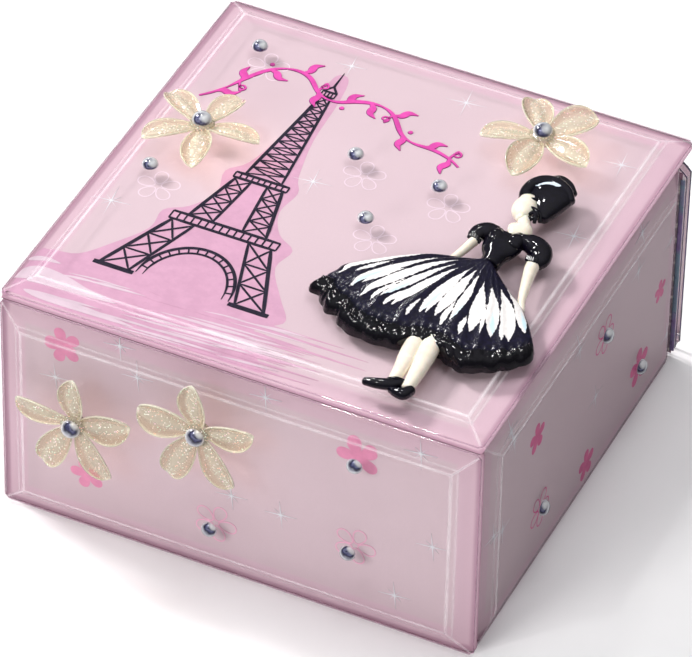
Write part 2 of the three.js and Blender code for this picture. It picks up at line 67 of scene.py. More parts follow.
# ------------------------------------------------------------------ small tools
def new_obj(name, verts, faces, mats, body, smooth=True, replaces=(), uv=None, mat_idx=None):
    me = bpy.data.meshes.new(name)
    me.from_pydata([tuple(v) for v in verts], [], [tuple(f) for f in faces])
    me.validate()
    me.update()
    for m in (mats if isinstance(mats, (list, tuple)) else [mats]):
        me.materials.append(m)
    if mat_idx is not None:
        for p, i in zip(me.polygons, mat_idx):
            p.material_index = i
    for p in me.polygons:
        p.use_smooth = smooth
    ob = bpy.data.objects.new(name, me)
    bpy.context.scene.collection.objects.link(ob)
    if uv is not None:
        layer = me.uv_layers.new(name="UVMap")
        for l in me.loops:
            layer.data[l.index].uv = uv[l.vertex_index]
    if body:
        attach(ob, body)
    if replaces:
        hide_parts(*replaces)
    return ob

def fix_normals(ob):
    bm = bmesh.new(); bm.from_mesh(ob.data)
    bmesh.ops.recalc_face_normals(bm, faces=bm.faces)
    bm.to_mesh(ob.data); bm.free()

def catmull(pts, n=8, closed=False):
    P = [np.array(p, float) for p in pts]
    out = []
    m = len(P)
    rng = range(m) if closed else range(m - 1)
    for i in rng:
        if closed:
            p0, p1, p2, p3 = P[(i - 1) % m], P[i], P[(i + 1) % m], P[(i + 2) % m]
        else:
            p0 = P[i - 1] if i else 2 * P[0] - P[1]
            p1, p2 = P[i], P[i + 1]
            p3 = P[i + 2] if i + 2 < m else 2 * P[-1] - P[-2]
        for k in range(n):
            t = k / n
            out.append(0.5 * ((2 * p1) + (-p0 + p2) * t + (2 * p0 - 5 * p1 + 4 * p2 - p3) * t * t + (-p0 + 3 * p1 - 3 * p2 + p3) * t ** 3))
    if not closed:
        out.append(P[-1])
    return np.array(out)

# ------------------------------------------------------------------ material tools
class Mat:
    def __init__(self, name):
        self.m = bpy.data.materials.new(name)
        self.m.use_nodes = True
        self.nt = self.m.node_tree
        self.nt.nodes.clear()
        self.out = self.nt.nodes.new("ShaderNodeOutputMaterial")
        self.x = 0
    def n(self, kind, **kw):
        nd = self.nt.nodes.new(kind)
        for k, v in kw.items():
            if k.startswith("i_"):
                key = k[2:].replace("_", " ")
                nd.inputs[key].default_value = v
            else:
                setattr(nd, k, v)
        return nd
    def l(self, a, b):
        self.nt.links.new(a, b)
    def coords(self):
        return self.n("ShaderNodeTexCoord").outputs["Object"]
    def noise(self, scale, detail=3, rough=0.5, vec=None, dist=0.0):
        t = self.n("ShaderNodeTexNoise")
        t.inputs["Scale"].default_value = scale
        t.inputs["Detail"].default_value = detail
        t.inputs["Roughness"].default_value = rough
        t.inputs["Distortion"].default_value = dist
        self.l(vec if vec is not None else self.coords(), t.inputs["Vector"])
        return t
    def ramp(self, fac, stops):
        r = self.n("ShaderNodeValToRGB")
        e = r.color_ramp.elements
        while len(e) < len(stops):
            e.new(0.5)
        for el, (p, c) in zip(e, stops):
            el.position = p
            el.color = (*c, 1) if len(c) == 3 else c
        self.l(fac, r.inputs["Fac"])
        return r
    def bsdf(self, base=None, rough=0.5, metal=0.0, **kw):
        b = self.n("ShaderNodeBsdfPrincipled")
        if base is not None:
            if hasattr(base, "is_linked") or hasattr(base, "links"):
                self.l(base, b.inputs["Base Color"])
            else:
                b.inputs["Base Color"].default_value = (*base, 1)
        if hasattr(rough, "links"):
            self.l(rough, b.inputs["Roughness"])
        else:
            b.inputs["Roughness"].default_value = rough
        b.inputs["Metallic"].default_value = metal
        for k, v in kw.items():
            key = k.replace("_", " ")
            if hasattr(v, "links"):
                self.l(v, b.inputs[key])
            else:
                b.inputs[key].default_value = v
        self.b = b
        return b
    def bump(self, height, strength=0.2, dist=0.0002):
        bp = self.n("ShaderNodeBump")
        bp.inputs["Strength"].default_value = strength
        bp.inputs["Distance"].default_value = dist
        self.l(height, bp.inputs["Height"])
        self.l(bp.outputs["Normal"], self.b.inputs["Normal"])
        return bp
    def maprange(self, v, a, b, c, d):
        mr = self.n("ShaderNodeMapRange")
        mr.inputs["From Min"].default_value = a
        mr.inputs["From Max"].default_value = b
        mr.inputs["To Min"].default_value = c
        mr.inputs["To Max"].default_value = d
        self.l(v, mr.inputs["Value"])
        return mr.outputs["Result"]
    def end(self, shader=None):
        self.l((shader or self.b).outputs[0] if not hasattr(shader, "links") else shader, self.out.inputs["Surface"])
        return self.m

def lin(r, g, b):
    f = lambda c: ((c / 255 + 0.055) / 1.055) ** 2.4 if c / 255 > 0.04045 else c / 255 / 12.92
    return (f(r), f(g), f(b))

# polished pane glass: real refraction for the eye, tinted see-through for the light that falls on the print
def make_glass(name, tint=(0.975, 0.955, 0.975), shadow=(0.93, 0.90, 0.925)):
    M = Mat(name)
    wave = M.noise(9, 2, 0.4)
    rgh = M.noise(900, 2, 0.5)
    g = M.n("ShaderNodeBsdfGlass")
    g.inputs["Color"].default_value = (*tint, 1)
    g.inputs["IOR"].default_value = 1.33
    M.l(M.maprange(rgh.outputs["Fac"], 0.35, 0.75, 0.0, 0.02), g.inputs["Roughness"])
    bp = M.n("ShaderNodeBump")
    bp.inputs["Strength"].default_value = 0.04
    bp.inputs["Distance"].default_value = 0.0004
    M.l(wave.outputs["Fac"], bp.inputs["Height"])
    M.l(bp.outputs["Normal"], g.inputs["Normal"])
    t = M.n("ShaderNodeBsdfTransparent")
    t.inputs["Color"].default_value = (*shadow, 1)
    lp = M.n("ShaderNodeLightPath")
    mx = M.n("ShaderNodeMath", operation="MAXIMUM")
    M.l(lp.outputs["Is Shadow Ray"], mx.inputs[0])
    M.l(lp.outputs["Is Diffuse Ray"], mx.inputs[1])
    mix = M.n("ShaderNodeMixShader")
    M.l(mx.outputs[0], mix.inputs[0])
    M.l(g.outputs[0], mix.inputs[1])
    M.l(t.outputs[0], mix.inputs[2])
    M.l(mix.outputs[0], M.out.inputs["Surface"])
    return M.m

def make_film(name, c1, c2, c3, ax=None, lo=None, hi=None):
    """satin printed sheet: soft cloudy tone, faint printing grain, and a painted border: darker at the very edge as
    painted shade of the pane's rim, deeper pink under the bevels and a little greyer on the flats as painted reflection
    """
    M = Mat(name)
    big = M.noise(11, 2, 0.5)
    r = M.ramp(big.outputs["Fac"], [(0.3, c1), (0.52, c2), (0.72, c3)])
    grain = M.noise(2600, 2, 0.6)
    mixc = M.n("ShaderNodeMix", data_type="RGBA", blend_type="MULTIPLY")
    mixc.inputs[0].default_value = 0.10
    M.l(r.outputs["Color"], mixc.inputs[6])
    M.l(grain.outputs["Fac"], mixc.inputs[7])
    col = mixc.outputs[2]
    if ax:
        sx = M.n("ShaderNodeSeparateXYZ"); M.l(M.coords(), sx.inputs[0])
        ds = []
        for a_, l_, h_ in zip(ax, lo, hi):
            for sign, v_ in ((1, -l_ * MM), (-1, h_ * MM)):
                q = M.n("ShaderNodeMath", operation="MULTIPLY_ADD"); M.l(sx.outputs[a_], q.inputs[0]); q.inputs[1].default_value = sign; q.inputs[2].default_value = v_
                ds.append(q.outputs[0])
        while len(ds) > 1:
            q = M.n("ShaderNodeMath", operation="MINIMUM"); M.l(ds[0], q.inputs[0]); M.l(ds[1], q.inputs[1])
            ds = ds[2:] + [q.outputs[0]]
        # painted shade and reflection: dark at the pane's rim, pinker under the bevels where they reflect less, greyer
        # on the flats where they reflect more
        r2 = M.ramp(M.maprange(ds[0], 0.0, 0.012, 0, 1), [(0.0, (0.60, 0.42, 0.52)), (0.12, (0.74, 0.58, 0.68)), (0.20, (1.0, 0.90, 0.96)), (0.56, (1.0, 0.91, 0.97)), (0.66, (0.97, 0.97, 0.97))])
        mx2 = M.n("ShaderNodeMix", data_type="RGBA", blend_type="MULTIPLY"); mx2.inputs[0].default_value = 1.0
        M.l(col, mx2.inputs[6]); M.l(r2.outputs["Color"], mx2.inputs[7])
        col = mx2.outputs[2]
    M.bsdf(col, M.maprange(grain.outputs["Fac"], 0.3, 0.7, 0.42, 0.6), Specular_IOR_Level=0.25)
    M.bump(grain.outputs["Fac"], 0.06, 0.00002)
    return M.end()

def make_ink(name, c, rough=0.5, vary=0.12, alpha=1.0):
    M = Mat(name)
    n1 = M.noise(260, 3, 0.6)
    dark = tuple(v * (1 - vary) for v in c)
    lite = tuple(min(1, v * (1 + vary) + 0.01) for v in c)
    r = M.ramp(n1.outputs["Fac"], [(0.35, dark), (0.65, lite)])
    M.bsdf(r.outputs["Color"], M.maprange(n1.outputs["Fac"], 0.3, 0.7, rough - 0.06, rough + 0.08), Specular_IOR_Level=0.25)
    if alpha < 1:
        M.b.inputs["Alpha"].default_value = alpha
    return M.end()

# painted highlight: near-white bands on the bevel lines, as strong as the paint attribute's red channel
def make_arris_highlight():
    M = Mat("arris_painted_highlight")
    n1 = M.noise(160, 3, 0.5)
    r = M.ramp(n1.outputs["Fac"], [(0.3, lin(244, 232, 238)), (0.7, lin(252, 244, 248))])
    at = M.n("ShaderNodeVertexColor", layer_name="paint")
    sp = M.n("ShaderNodeSeparateColor")
    M.l(at.outputs["Color"], sp.inputs[0])
    M.bsdf(r.outputs["Color"], 0.35)
    mu = M.n("ShaderNodeMath", operation="MULTIPLY")
    M.l(sp.outputs[0], mu.inputs[0]); M.l(M.maprange(n1.outputs["Fac"], 0.3, 0.7, 0.30, 0.50), mu.inputs[1])
    M.l(mu.outputs[0], M.b.inputs["Alpha"])
    return M.end()
def make_edge(name, c1, c2, a0, a1):
    M = Mat(name)
    n1 = M.noise(120, 3, 0.5)
    r = M.ramp(n1.outputs["Fac"], [(0.3, c1), (0.7, c2)])
    M.bsdf(r.outputs["Color"], 0.2)
    M.l(M.maprange(n1.outputs["Fac"], 0.3, 0.7, a0, a1), M.b.inputs["Alpha"])
    return M.end()
ARRIS_HIGHLIGHT = make_arris_highlight()
# painted reflection and shade: see-through mauve and slate lines laid along the panes' outer edges
EDGE = make_edge("mauve_edge_painted_reflection", lin(150, 112, 136), lin(182, 144, 166), 0.22, 0.42)
EDGE_DARK = make_edge("slate_edge_painted_shade", lin(60, 70, 84), lin(104, 92, 132), 0.7, 0.9)
GLASS = make_glass("pane_glass", (0.985, 0.975, 0.982), (0.95, 0.935, 0.945))
TONE = [tuple(c * 0.81 for c in t) for t in (lin(226, 202, 210), lin(230, 207, 214), lin(234, 212, 219))]
# painted shade: the right side's sheet is printed 2% darker than the others
TONE_RIGHT_SHADED = [tuple(c * 0.98 for c in t) for t in TONE]
INK = make_ink("ink_navy", lin(12, 5, 30), 0.8, 0.02)
PINK = make_ink("ink_pink", lin(197, 152, 176), 0.55, 0.04)
PINK_LINE = make_ink("ink_pink_line", lin(222, 170, 192), 0.55, 0.04)
PINK_DEEP = make_ink("ink_rose", lin(216, 138, 170), 0.5, 0.06)
MAGENTA = make_ink("ink_magenta", lin(206, 66, 158), 0.45, 0.12)
MAGENTA_D = make_ink("ink_plum", lin(120, 34, 110), 0.45, 0.12)
PALE = make_ink("ink_pale", lin(208, 188, 199), 0.6, 0.03)
GHOST = make_ink("ink_ghost", lin(220, 202, 212), 0.6, 0.02)
GREY = make_ink("ink_ghost", lin(214, 188, 206), 0.6, 0.04)
SPARK = make_ink("ink_spark", lin(222, 224, 228), 0.5, 0.03)
ROSE = make_ink("ink_side_rose", lin(208, 92, 142), 0.5, 0.1)

# ------------------------------------------------------------------ the panes
def pane(name, outline_w, outline_h, back, rim, top, bevel, clip, place, node):
    """closed bevelled pane in its own plane, then placed; edges carry a fine polished round"""
    w, h = outline_w / 2, outline_h / 2
    c = clip
    ring = [(-w + c, -h), (w - c, -h), (w, -h + c), (w, h - c), (w - c, h), (-w + c, h), (-w, h - c), (-w, -h + c)]
    V, F = [], []
    for z in (back, rim):
        V += [(x, y, z) for x, y in ring]
    iw, ih = w - bevel, h - bevel
    V += [(-iw, -ih, top), (iw, -ih, top), (iw, ih, top), (-iw, ih, top)]
    F.append(tuple(reversed(range(8))))
    for i in range(8):
        j = (i + 1) % 8
        F.append((i, j, 8 + j, 8 + i))
    A, B, C, D = 16, 17, 18, 19
    F += [(8, 9, B, A), (9, 10, B), (10, 11, C, B), (11, 12, C), (12, 13, D, C), (13, 14, D), (14, 15, A, D), (15, 8, A), (A, B, C, D)]
    ob = new_obj(name, [place(*v) for v in V], F, GLASS, None, smooth=False)
    fix_normals(ob)
    m = ob.modifiers.new("polish", "BEVEL")
    m.width = 0.32 * MM
    m.segments = 3
    m.limit_method = "ANGLE"
    m.angle_limit = math.radians(8)
    bpy.context.view_layer.objects.active = ob
    ob.select_set(True)
    bpy.ops.object.modifier_apply(modifier="polish")
    ob.select_set(False)
    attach(ob, "lid" if node == "lid_glass" else "case")
    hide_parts(node)
    if bevel > 3:
        # painted highlights: pale bands laid where the polished faces meet, with a fainter painted reflection of them
        # beside
        V2, F2, A2 = [], [], []
        sl = (top - rim) / bevel
        def ring_band(mid, half, gain):
            o_ = len(V2)
            ds = [mid - half, mid - half * 0.5, mid, mid + half * 0.5, mid + half]
            for d_, a_ in zip(ds, (0, 0.55, 1.0, 0.55, 0)):
                for sx_, sy_ in ((-1, -1), (1, -1), (1, 1), (-1, 1)):
                    V2.append((sx_ * (iw + d_), sy_ * (ih + d_), top - max(0.0, d_) * sl + 0.035))
                    A2.append((a_ * gain, 0, 0, 1))
            for i_ in range(4):
                for k in range(4):
                    j = (k + 1) % 4
                    F2.append((o_ + i_ * 4 + k, o_ + i_ * 4 + j, o_ + i_ * 4 + 4 + j, o_ + i_ * 4 + 4 + k))
        ring_band(0.1, 0.75, 1.0)
        ring_band(1.9, 0.5, 0.5)
        for sx_, sy_ in ((-1, -1), (1, -1), (1, 1), (-1, 1)):
            o_ = len(V2)
            n_ = 8
            for i_ in range(n_ + 1):
                d_ = (bevel - 0.7) * i_ / n_
                for e_, a_ in ((-0.5, 0), (-0.2, 0.6), (0, 1), (0.2, 0.6), (0.5, 0)):
                    V2.append((sx_ * (iw + d_ + e_), sy_ * (ih + d_ - e_), top - (d_ + abs(e_)) * sl + 0.06))
                    A2.append((a_ * 0.75, 0, 0, 1))
            for i_ in range(n_):
                for k in range(4):
                    F2.append((o_ + i_ * 5 + k, o_ + i_ * 5 + k + 1, o_ + i_ * 5 + 6 + k, o_ + i_ * 5 + 5 + k))
        ar = new_obj(name + "_arris", [place(*v) for v in V2], F2, ARRIS_HIGHLIGHT, "lid" if node == "lid_glass" else "case", smooth=False)
        c_at = ar.data.color_attributes.new("paint", "FLOAT_COLOR", "POINT")
        c_at.data.foreach_set("color", np.array(A2, dtype=np.float32).ravel())
    # rods along the pane's ground outer edge: the mauve ones are partly the glass's tint through its full depth and
    # partly a painted reflection of the print, the slate ones on the rear pane painted shade for the dark seen through
    # its edge
    V2, F2 = [], []
    def rod2(p, q, r_):
        p, q = np.array(p, float), np.array(q, float)
        t_ = (q - p) / np.linalg.norm(q - p)
        u_ = np.cross(t_, (0.31, 0.17, 0.93)); u_ /= np.linalg.norm(u_)
        n_ = np.cross(t_, u_)
        o_ = len(V2)
        for c_ in (p, q):
            for k in range(6):
                a_ = math.pi * k / 3
                V2.append(c_ + (u_ * math.cos(a_) + n_ * math.sin(a_)) * r_)
        for k in range(6):
            j = (k + 1) % 6
            F2.append((o_ + k, o_ + j, o_ + 6 + j, o_ + 6 + k))
        F2.append(tuple(o_ + k for k in reversed(range(6))))
        F2.append(tuple(o_ + 6 + k for k in range(6)))
    for k in range(8):
        a_, b_ = ring[k], ring[(k + 1) % 8]
        e_ = 0.22 if bevel > 3 else 0.34
        rod2((a_[0] * 0.999, a_[1] * 0.999, rim), (b_[0] * 0.999, b_[1] * 0.999, rim), e_)
        if bevel < 3:
            rod2((a_[0] * 0.999, a_[1] * 0.999, back + 0.9), (b_[0] * 0.999, b_[1] * 0.999, back + 0.9), 0.26)
    ed = new_obj(name + "_edge", [place(*v) for v in V2], F2, EDGE if bevel > 3 else EDGE_DARK, "lid" if node == "lid_glass" else "case", smooth=False)
    fix_normals(ed)
    return ob

def bevel_from(node):
    return bx(node)

FILM_T = bx("lid_print")[1][2]                 # face of the lid print
FF = bx("front_print")[0][1]
RF = bx("right_print")[1][0]
LF = bx("left_print")[0][0]
BF = bx("rear_print")[1][1]
IN = 0.12                                      # the sheet is bonded: the glass reaches just past its face

lidw, lidh = lg1[0] - lg0[0], lg1[1] - lg0[1]
pane("lid_pane", lidw, lidh, FILM_T - IN, lg0[2] + 2.2, lg1[2], BEV, 1.3,
     lambda x, y, z: W(x, y, z), "lid_glass")
fw, fh = fg1[0] - fg0[0], fg1[2] - fg0[2]
fzc = (fg1[2] + fg0[2]) / 2
def place_front(x, y, z):
    return Vector(((x + CX) * MM, (-z) * MM, (y + fzc) * MM))
pane("front_pane", fw, fh, -(FF + IN), -(fg1[1] - 2.3), -fg0[1], BEV, 1.3, place_front, "front_glass")
def place_rear(x, y, z):
    return Vector(((CX - x) * MM, z * MM, (y + (bg0[2] + bg1[2]) / 2) * MM))
pane("rear_pane", bg1[0] - bg0[0], bg1[2] - bg0[2], BF - IN, bg1[1] - 0.8, bg1[1], 1.2, 2.4, place_rear, "rear_glass")
syc, szc = (rg0[1] + rg1[1]) / 2, (rg0[2] + rg1[2]) / 2
def place_right(x, y, z):
    return Vector((z * MM, (x + syc) * MM, (y + szc) * MM))
def place_left(x, y, z):
    return Vector((-z * MM, (syc - x) * MM, (y + szc) * MM))
sw, sh = rg1[1] - rg0[1], rg1[2] - rg0[2]
pane("right_pane", sw, sh, RF - IN, rg0[0] + 2.3, rg1[0], BEV, 1.3, place_right, "right_glass")
pane("left_pane", sw, sh, -LF - IN, -lf1[0] + 2.3, -lf0[0], BEV, 1.3, place_left, "left_glass")

for n, ax in (("front_print", (0, 2)), ("rear_print", (0, 2)), ("left_print", (1, 2)), ("right_print", (1, 2)), ("lid_print", (0, 1))):
    a, b = bx(n)
    N[n].data.materials.clear()
    N[n].data.materials.append(make_film("sheet_" + n, *(TONE_RIGHT_SHADED if n == "right_print" else TONE), ax, [a[i] for i in ax], [b[i] for i in ax]))

# ------------------------------------------------------------------ printed artwork: thin ink shapes on the sheets
class Ink:
    """collects flat shapes in a plane (mm) and extrudes them by the ink's thickness"""
    def __init__(self, fat=1.0):
        self.v, self.f, self.k, self.fat = [], [], [], fat
    def lift(self):
        """each new shape lies a hair above the one before, as one brush stroke over another"""
        n = (self.k[-1] + 1) % 30 if self.k else 0
        self.k += [n] * (len(self.v) - len(self.k))
    def strip(self, a, b, closed=False):
        # a and b are the two edges of a ribbon
        o = len(self.v)
        n = len(a)
        for p, q in zip(a, b):
            self.v += [tuple(p), tuple(q)]
        for i in range(n - 1 + (1 if closed else 0)):
            j = (i + 1) % n
            self.f.append((o + 2 * i, o + 2 * i + 1, o + 2 * j + 1, o + 2 * j))
        self.lift()
    def stroke(self, pts, width, n=8, taper=(0.25, 0.25), closed=False, smooth=True):
        c = catmull(pts, n, closed) if smooth and len(pts) > 2 else np.array(pts, float)
        if len(c) == 2:
            c = np.array([c[0] + (c[1] - c[0]) * t for t in np.linspace(0, 1, 7)])
        d = np.gradient(c, axis=0)
        if closed:
            d = (np.roll(c, -1, 0) - np.roll(c, 1, 0)) / 2
        d /= np.linalg.norm(d, axis=1)[:, None] + 1e-9
        nrm = np.stack([-d[:, 1], d[:, 0]], 1)
        t = np.linspace(0, 1, len(c))
        if callable(width):
            w = np.array([width(x) for x in t]) * self.fat
        else:
            w = np.full(len(c), width, float) * self.fat
            if not closed:
                w = w * np.clip(taper[0] + (1 - taper[0]) * t / 0.12, 0, 1) * np.clip(taper[1] + (1 - taper[1]) * (1 - t) / 0.12, 0, 1)
        self.strip(c + nrm * w[:, None] / 2, c - nrm * w[:, None] / 2, closed)
    def blob(self, pts, n=8, smooth=True):
        c = catmull(pts, n, True) if smooth else np.array(pts, float)
        o = len(self.v)
        m = c.mean(0)
        self.v += [tuple(p) for p in c]
        self.f.append(tuple(range(o, o + len(c))))
        self.lift()
    def disc(self, x, y, r, n=16, ry=None):
        ry = ry or r
        self.blob([(x + r * math.cos(2 * math.pi * i / n), y + ry * math.sin(2 * math.pi * i / n)) for i in range(n)], 1, False)
    def build(self, name, place, level, mat, body, thick=0.02):
        """place(x, y, h) gives metres; h is the height above the sheet in mm"""
        bm = bmesh.new()
        vs = [bm.verts.new((x, y, 0.0016 * k)) for (x, y), k in zip(self.v, self.k)]
        fs = []
        for f in self.f:
            try:
                fs.append(bm.faces.new([vs[i] for i in f]))
            except ValueError:
                pass
        bm.normal_update()
        for f in fs:
            if f.normal.z < 0:
                f.normal_flip()
        big = [f for f in fs if len(f.verts) > 4]
        if big:
            bmesh.ops.triangulate(bm, faces=big, ngon_method="EAR_CLIP")
        r = bmesh.ops.extrude_face_region(bm, geom=list(bm.faces))
        up = [g for g in r["geom"] if isinstance(g, bmesh.types.BMVert)]
        ups = set(up)
        for v in bm.verts:
            # the ink stands on the sheet: its foot is sunk just under the paper
            h = level + thick + v.co.z if v in ups else -0.02
            v.co = place(v.co.x, v.co.y, h)
        bmesh.ops.recalc_face_normals(bm, faces=bm.faces)
        # every stroke faces outwards: turn the ones whose volume comes out negative
        seen = set()
        for f0 in bm.faces:
            if f0 in seen:
                continue
            seen.add(f0)
            isl, todo = [f0], [f0]
            while todo:
                for e in todo.pop().edges:
                    for g in e.link_faces:
                        if g not in seen:
                            seen.add(g); isl.append(g); todo.append(g)
            c0 = f0.verts[0].co.copy()
            vol = 0.0
            for f in isl:
                q = [v.co - c0 for v in f.verts]
                for i in range(1, len(q) - 1):
                    vol += q[0].dot(q[i].cross(q[i + 1]))
            if vol < 0:
                for f in isl:
                    f.normal_flip()
        me = bpy.data.meshes.new(name)
        bm.to_mesh(me)
        bm.free()
        me.materials.append(mat)
        ob = bpy.data.objects.new(name, me)
        bpy.context.scene.collection.objects.link(ob)
        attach(ob, body)
        return ob

def on_lid(x, y, h):
    return W(x, y, FILM_T + h)
def on_front(x, y, h):           # x right, y up from the pane's bottom edge
    return Vector(((x + CX) * MM, (FF - h) * MM, (y + Z0) * MM))
def on_right(x, y, h):           # x towards the back, box-centred
    return Vector(((RF + h) * MM, (x + CY) * MM, (y + Z0) * MM))
def on_left(x, y, h):
    return Vector(((LF - h) * MM, (CY + x) * MM, (y + Z0) * MM))
def on_rear(x, y, h):
    return Vector(((CX - x) * MM, (BF + h) * MM, (y + Z0) * MM))

def L(px, py):
    """artwork units (tenths of a millimetre from the lid's back left corner) to box-centred mm"""
    return (px / 10 - 76 - 0.86, 75.83 - py / 10 + 1.9)
def LS(pts):
    return [L(*p) for p in pts]

def spiral(cx, cy, r0, r1, a0, turns, n=26):
    return [(cx + (r0 + (r1 - r0) * i / n) * math.cos(a0 + turns * 2 * math.pi * i / n),
             cy + (r0 + (r1 - r0) * i / n) * math.sin(a0 + turns * 2 * math.pi * i / n)) for i in range(n + 1)]

# --- plain lattice tower, drawn with a brush pen
ink = Ink(1.75)
TC = 466                                        # centre line of the tower
rnd = random.Random(4)
def lerp(a, b, t):
    return (a[0] + (b[0] - a[0]) * t, a[1] + (b[1] - a[1]) * t)
def wob(p, a=1.8):
    return (p[0] + rnd.uniform(-a, a), p[1] + rnd.uniform(-a, a))
def brace(oa, ob, ia, ib, n, w=0.34, wo=0.6):
    """straight leg between an outer line oa-ob and an inner line ia-ib: n crossed panels with a rung at each joint"""
    ink.stroke(LS([oa, lerp(oa, ob, .5), ob]), wo, taper=(0.7, 0.7))
    ink.stroke(LS([ia, lerp(ia, ib, .5), ib]), wo * 0.8, taper=(0.7, 0.7))
    for k in range(n):
        t0, t1 = k / n, (k + 1) / n
        a0, a1, b0, b1 = lerp(oa, ob, t0), lerp(oa, ob, t1), lerp(ia, ib, t0), lerp(ia, ib, t1)
        ink.stroke(LS([wob(a0), wob(b1)]), w, taper=(0.5, 0.5))
        ink.stroke(LS([wob(b0), wob(a1)]), w, taper=(0.5, 0.5))
        if k:
            ink.stroke(LS([wob(a0, 1), wob(b0, 1)]), w)
def deck(y0, y1, hw, n, w=0.3, wo=0.62):
    """plain platform: two rails with posts between them"""
    ink.stroke(LS([(TC - hw, y0), (TC, y0), (TC + hw, y0)]), wo, taper=(0.7, 0.7))
    ink.stroke(LS([(TC - hw, y1), (TC, y1), (TC + hw, y1)]), wo, taper=(0.7, 0.7))
    for k in range(n + 1):
        x = TC - hw + 2 * hw * k / n
        ink.stroke(LS([(x, y0), (x, y1)]), w, taper=(1, 1))
# mast, cabin and shaft
ink.stroke(LS([(TC, 192), (TC, 230), (TC, 268)]), lambda t: 0.14 + 0.36 * t)
ink.stroke(LS([(TC - 22, 292), (TC, 264)]), 0.45, taper=(0.8, 0.8))
ink.stroke(LS([(TC + 22, 292), (TC, 264)]), 0.45, taper=(0.8, 0.8))
deck(292, 316, 22, 4, 0.26, 0.5)
brace((TC - 15, 318), (TC - 58, 744), (TC + 15, 318), (TC + 58, 744), 12, 0.3, 0.62)
# two platforms, straight middle and lower legs
deck(748, 772, 86, 9)
deck(988, 1022, 172, 15)
for s_ in (1, -1):
    P = lambda dx, y: (TC + s_ * dx, y)
    brace(P(76, 776), P(124, 984), P(26, 776), P(48, 984), 4, 0.34, 0.64)
    brace(P(160, 1026), P(262, 1286), P(88, 1026), P(170, 1286), 3, 0.4, 0.7)
    ink.stroke(LS([P(152, 1292), P(216, 1292), P(280, 1292)]), 1.0, taper=(0.9, 0.9))
# plain round arch with straight spokes between its two rings
def arc(rx, ry, n=17):
    return [(TC - rx * math.cos(math.pi * i / (n - 1)), 1284 - ry * math.sin(math.pi * i / (n - 1))) for i in range(n)]
ink.stroke(LS(arc(148, 176)), 0.62, n=3)
ink.stroke(LS(arc(126, 152)), 0.44, n=3)
for a_, b_ in list(zip(arc(148, 176), arc(126, 152)))[1:-1]:
    ink.stroke(LS([a_, b_]), 0.3, taper=(1, 1))
ink.build("lid_tower_ink", on_lid, 0.15, INK, "lid")

# --- soft pink wash behind the tower, running into the brushed ground
pk = Ink()
rw = random.Random(21)
edge = [(18, 214), (34, 330), (46, 520), (76, 690), (120, 760), (106, 860), (150, 950), (208, 1000), (206, 1090), (268, 1200), (330, 1284)]
side_l = [(TC + 5 - dx + rw.uniform(-7, 7), y) for dx, y in edge]
side_r = [(TC + 5 + dx + rw.uniform(-7, 7), y) for dx, y in reversed(edge)]
pk.blob(LS(side_l + [(60, 1302), (26, 1318), (25, 1502), (27, 1507), (400, 1508), (824, 1506), (826, 1500), (800, 1462), (756, 1420), (730, 1376), (770, 1328)] + side_r), 4)
pk.build("lid_tower_tint", on_lid, 0.008, PINK, "lid")
br = Ink()
rb = random.Random(11)
for k in range(24):
    y = 1330 + k * 7.2 + rb.uniform(-5, 5)
    x0 = 360 + rb.uniform(0, 180)
    x1 = x0 + rb.uniform(300, 560)
    slope = rb.uniform(-22, 6)
    ctrl = [(x0, y + 4), (x0 + (x1 - x0) * .35, y + slope * .2), (x0 + (x1 - x0) * .7, y + slope * .6), (x1, y + slope)]
    wmax = rb.uniform(1.1, 2.2)
    br.stroke(LS(ctrl), lambda t, wm=wmax: wm * (1 - t) ** 0.7 * min(1, 0.3 + 6 * t) + 0.03)
br.build("lid_brush_tint", on_lid, 0.055, PINK, "lid")
bl = Ink()
bl.blob(LS([(26, 1402), (70, 1382), (150, 1390), (236, 1414), (330, 1424), (250, 1434), (120, 1440), (17, 1452), (17, 1448)]), 4)
bl.blob(LS([(60, 1480), (160, 1468), (300, 1476), (420, 1490), (300, 1496), (120, 1498)]), 4)
bl.blob(LS([(26, 1346), (54, 1338), (110, 1348), (60, 1358), (17, 1364)]), 4)
for k in range(26):
    y = 1336 + k * 6.6 + rb.uniform(-5, 5)
    x0 = 110 + rb.uniform(0, 640)
    x1 = x0 + rb.uniform(110, 360)
    bl.stroke(LS([(x0, y + 6), ((x0 + x1) / 2, y - 3), (x1, y - 8)]), lambda t, wm=rb.uniform(0.3, 1.1): wm * math.sin(math.pi * min(1, t + 0.02)) + 0.02)
bl.build("lid_brush_light", on_lid, 0.10, PALE, "lid")

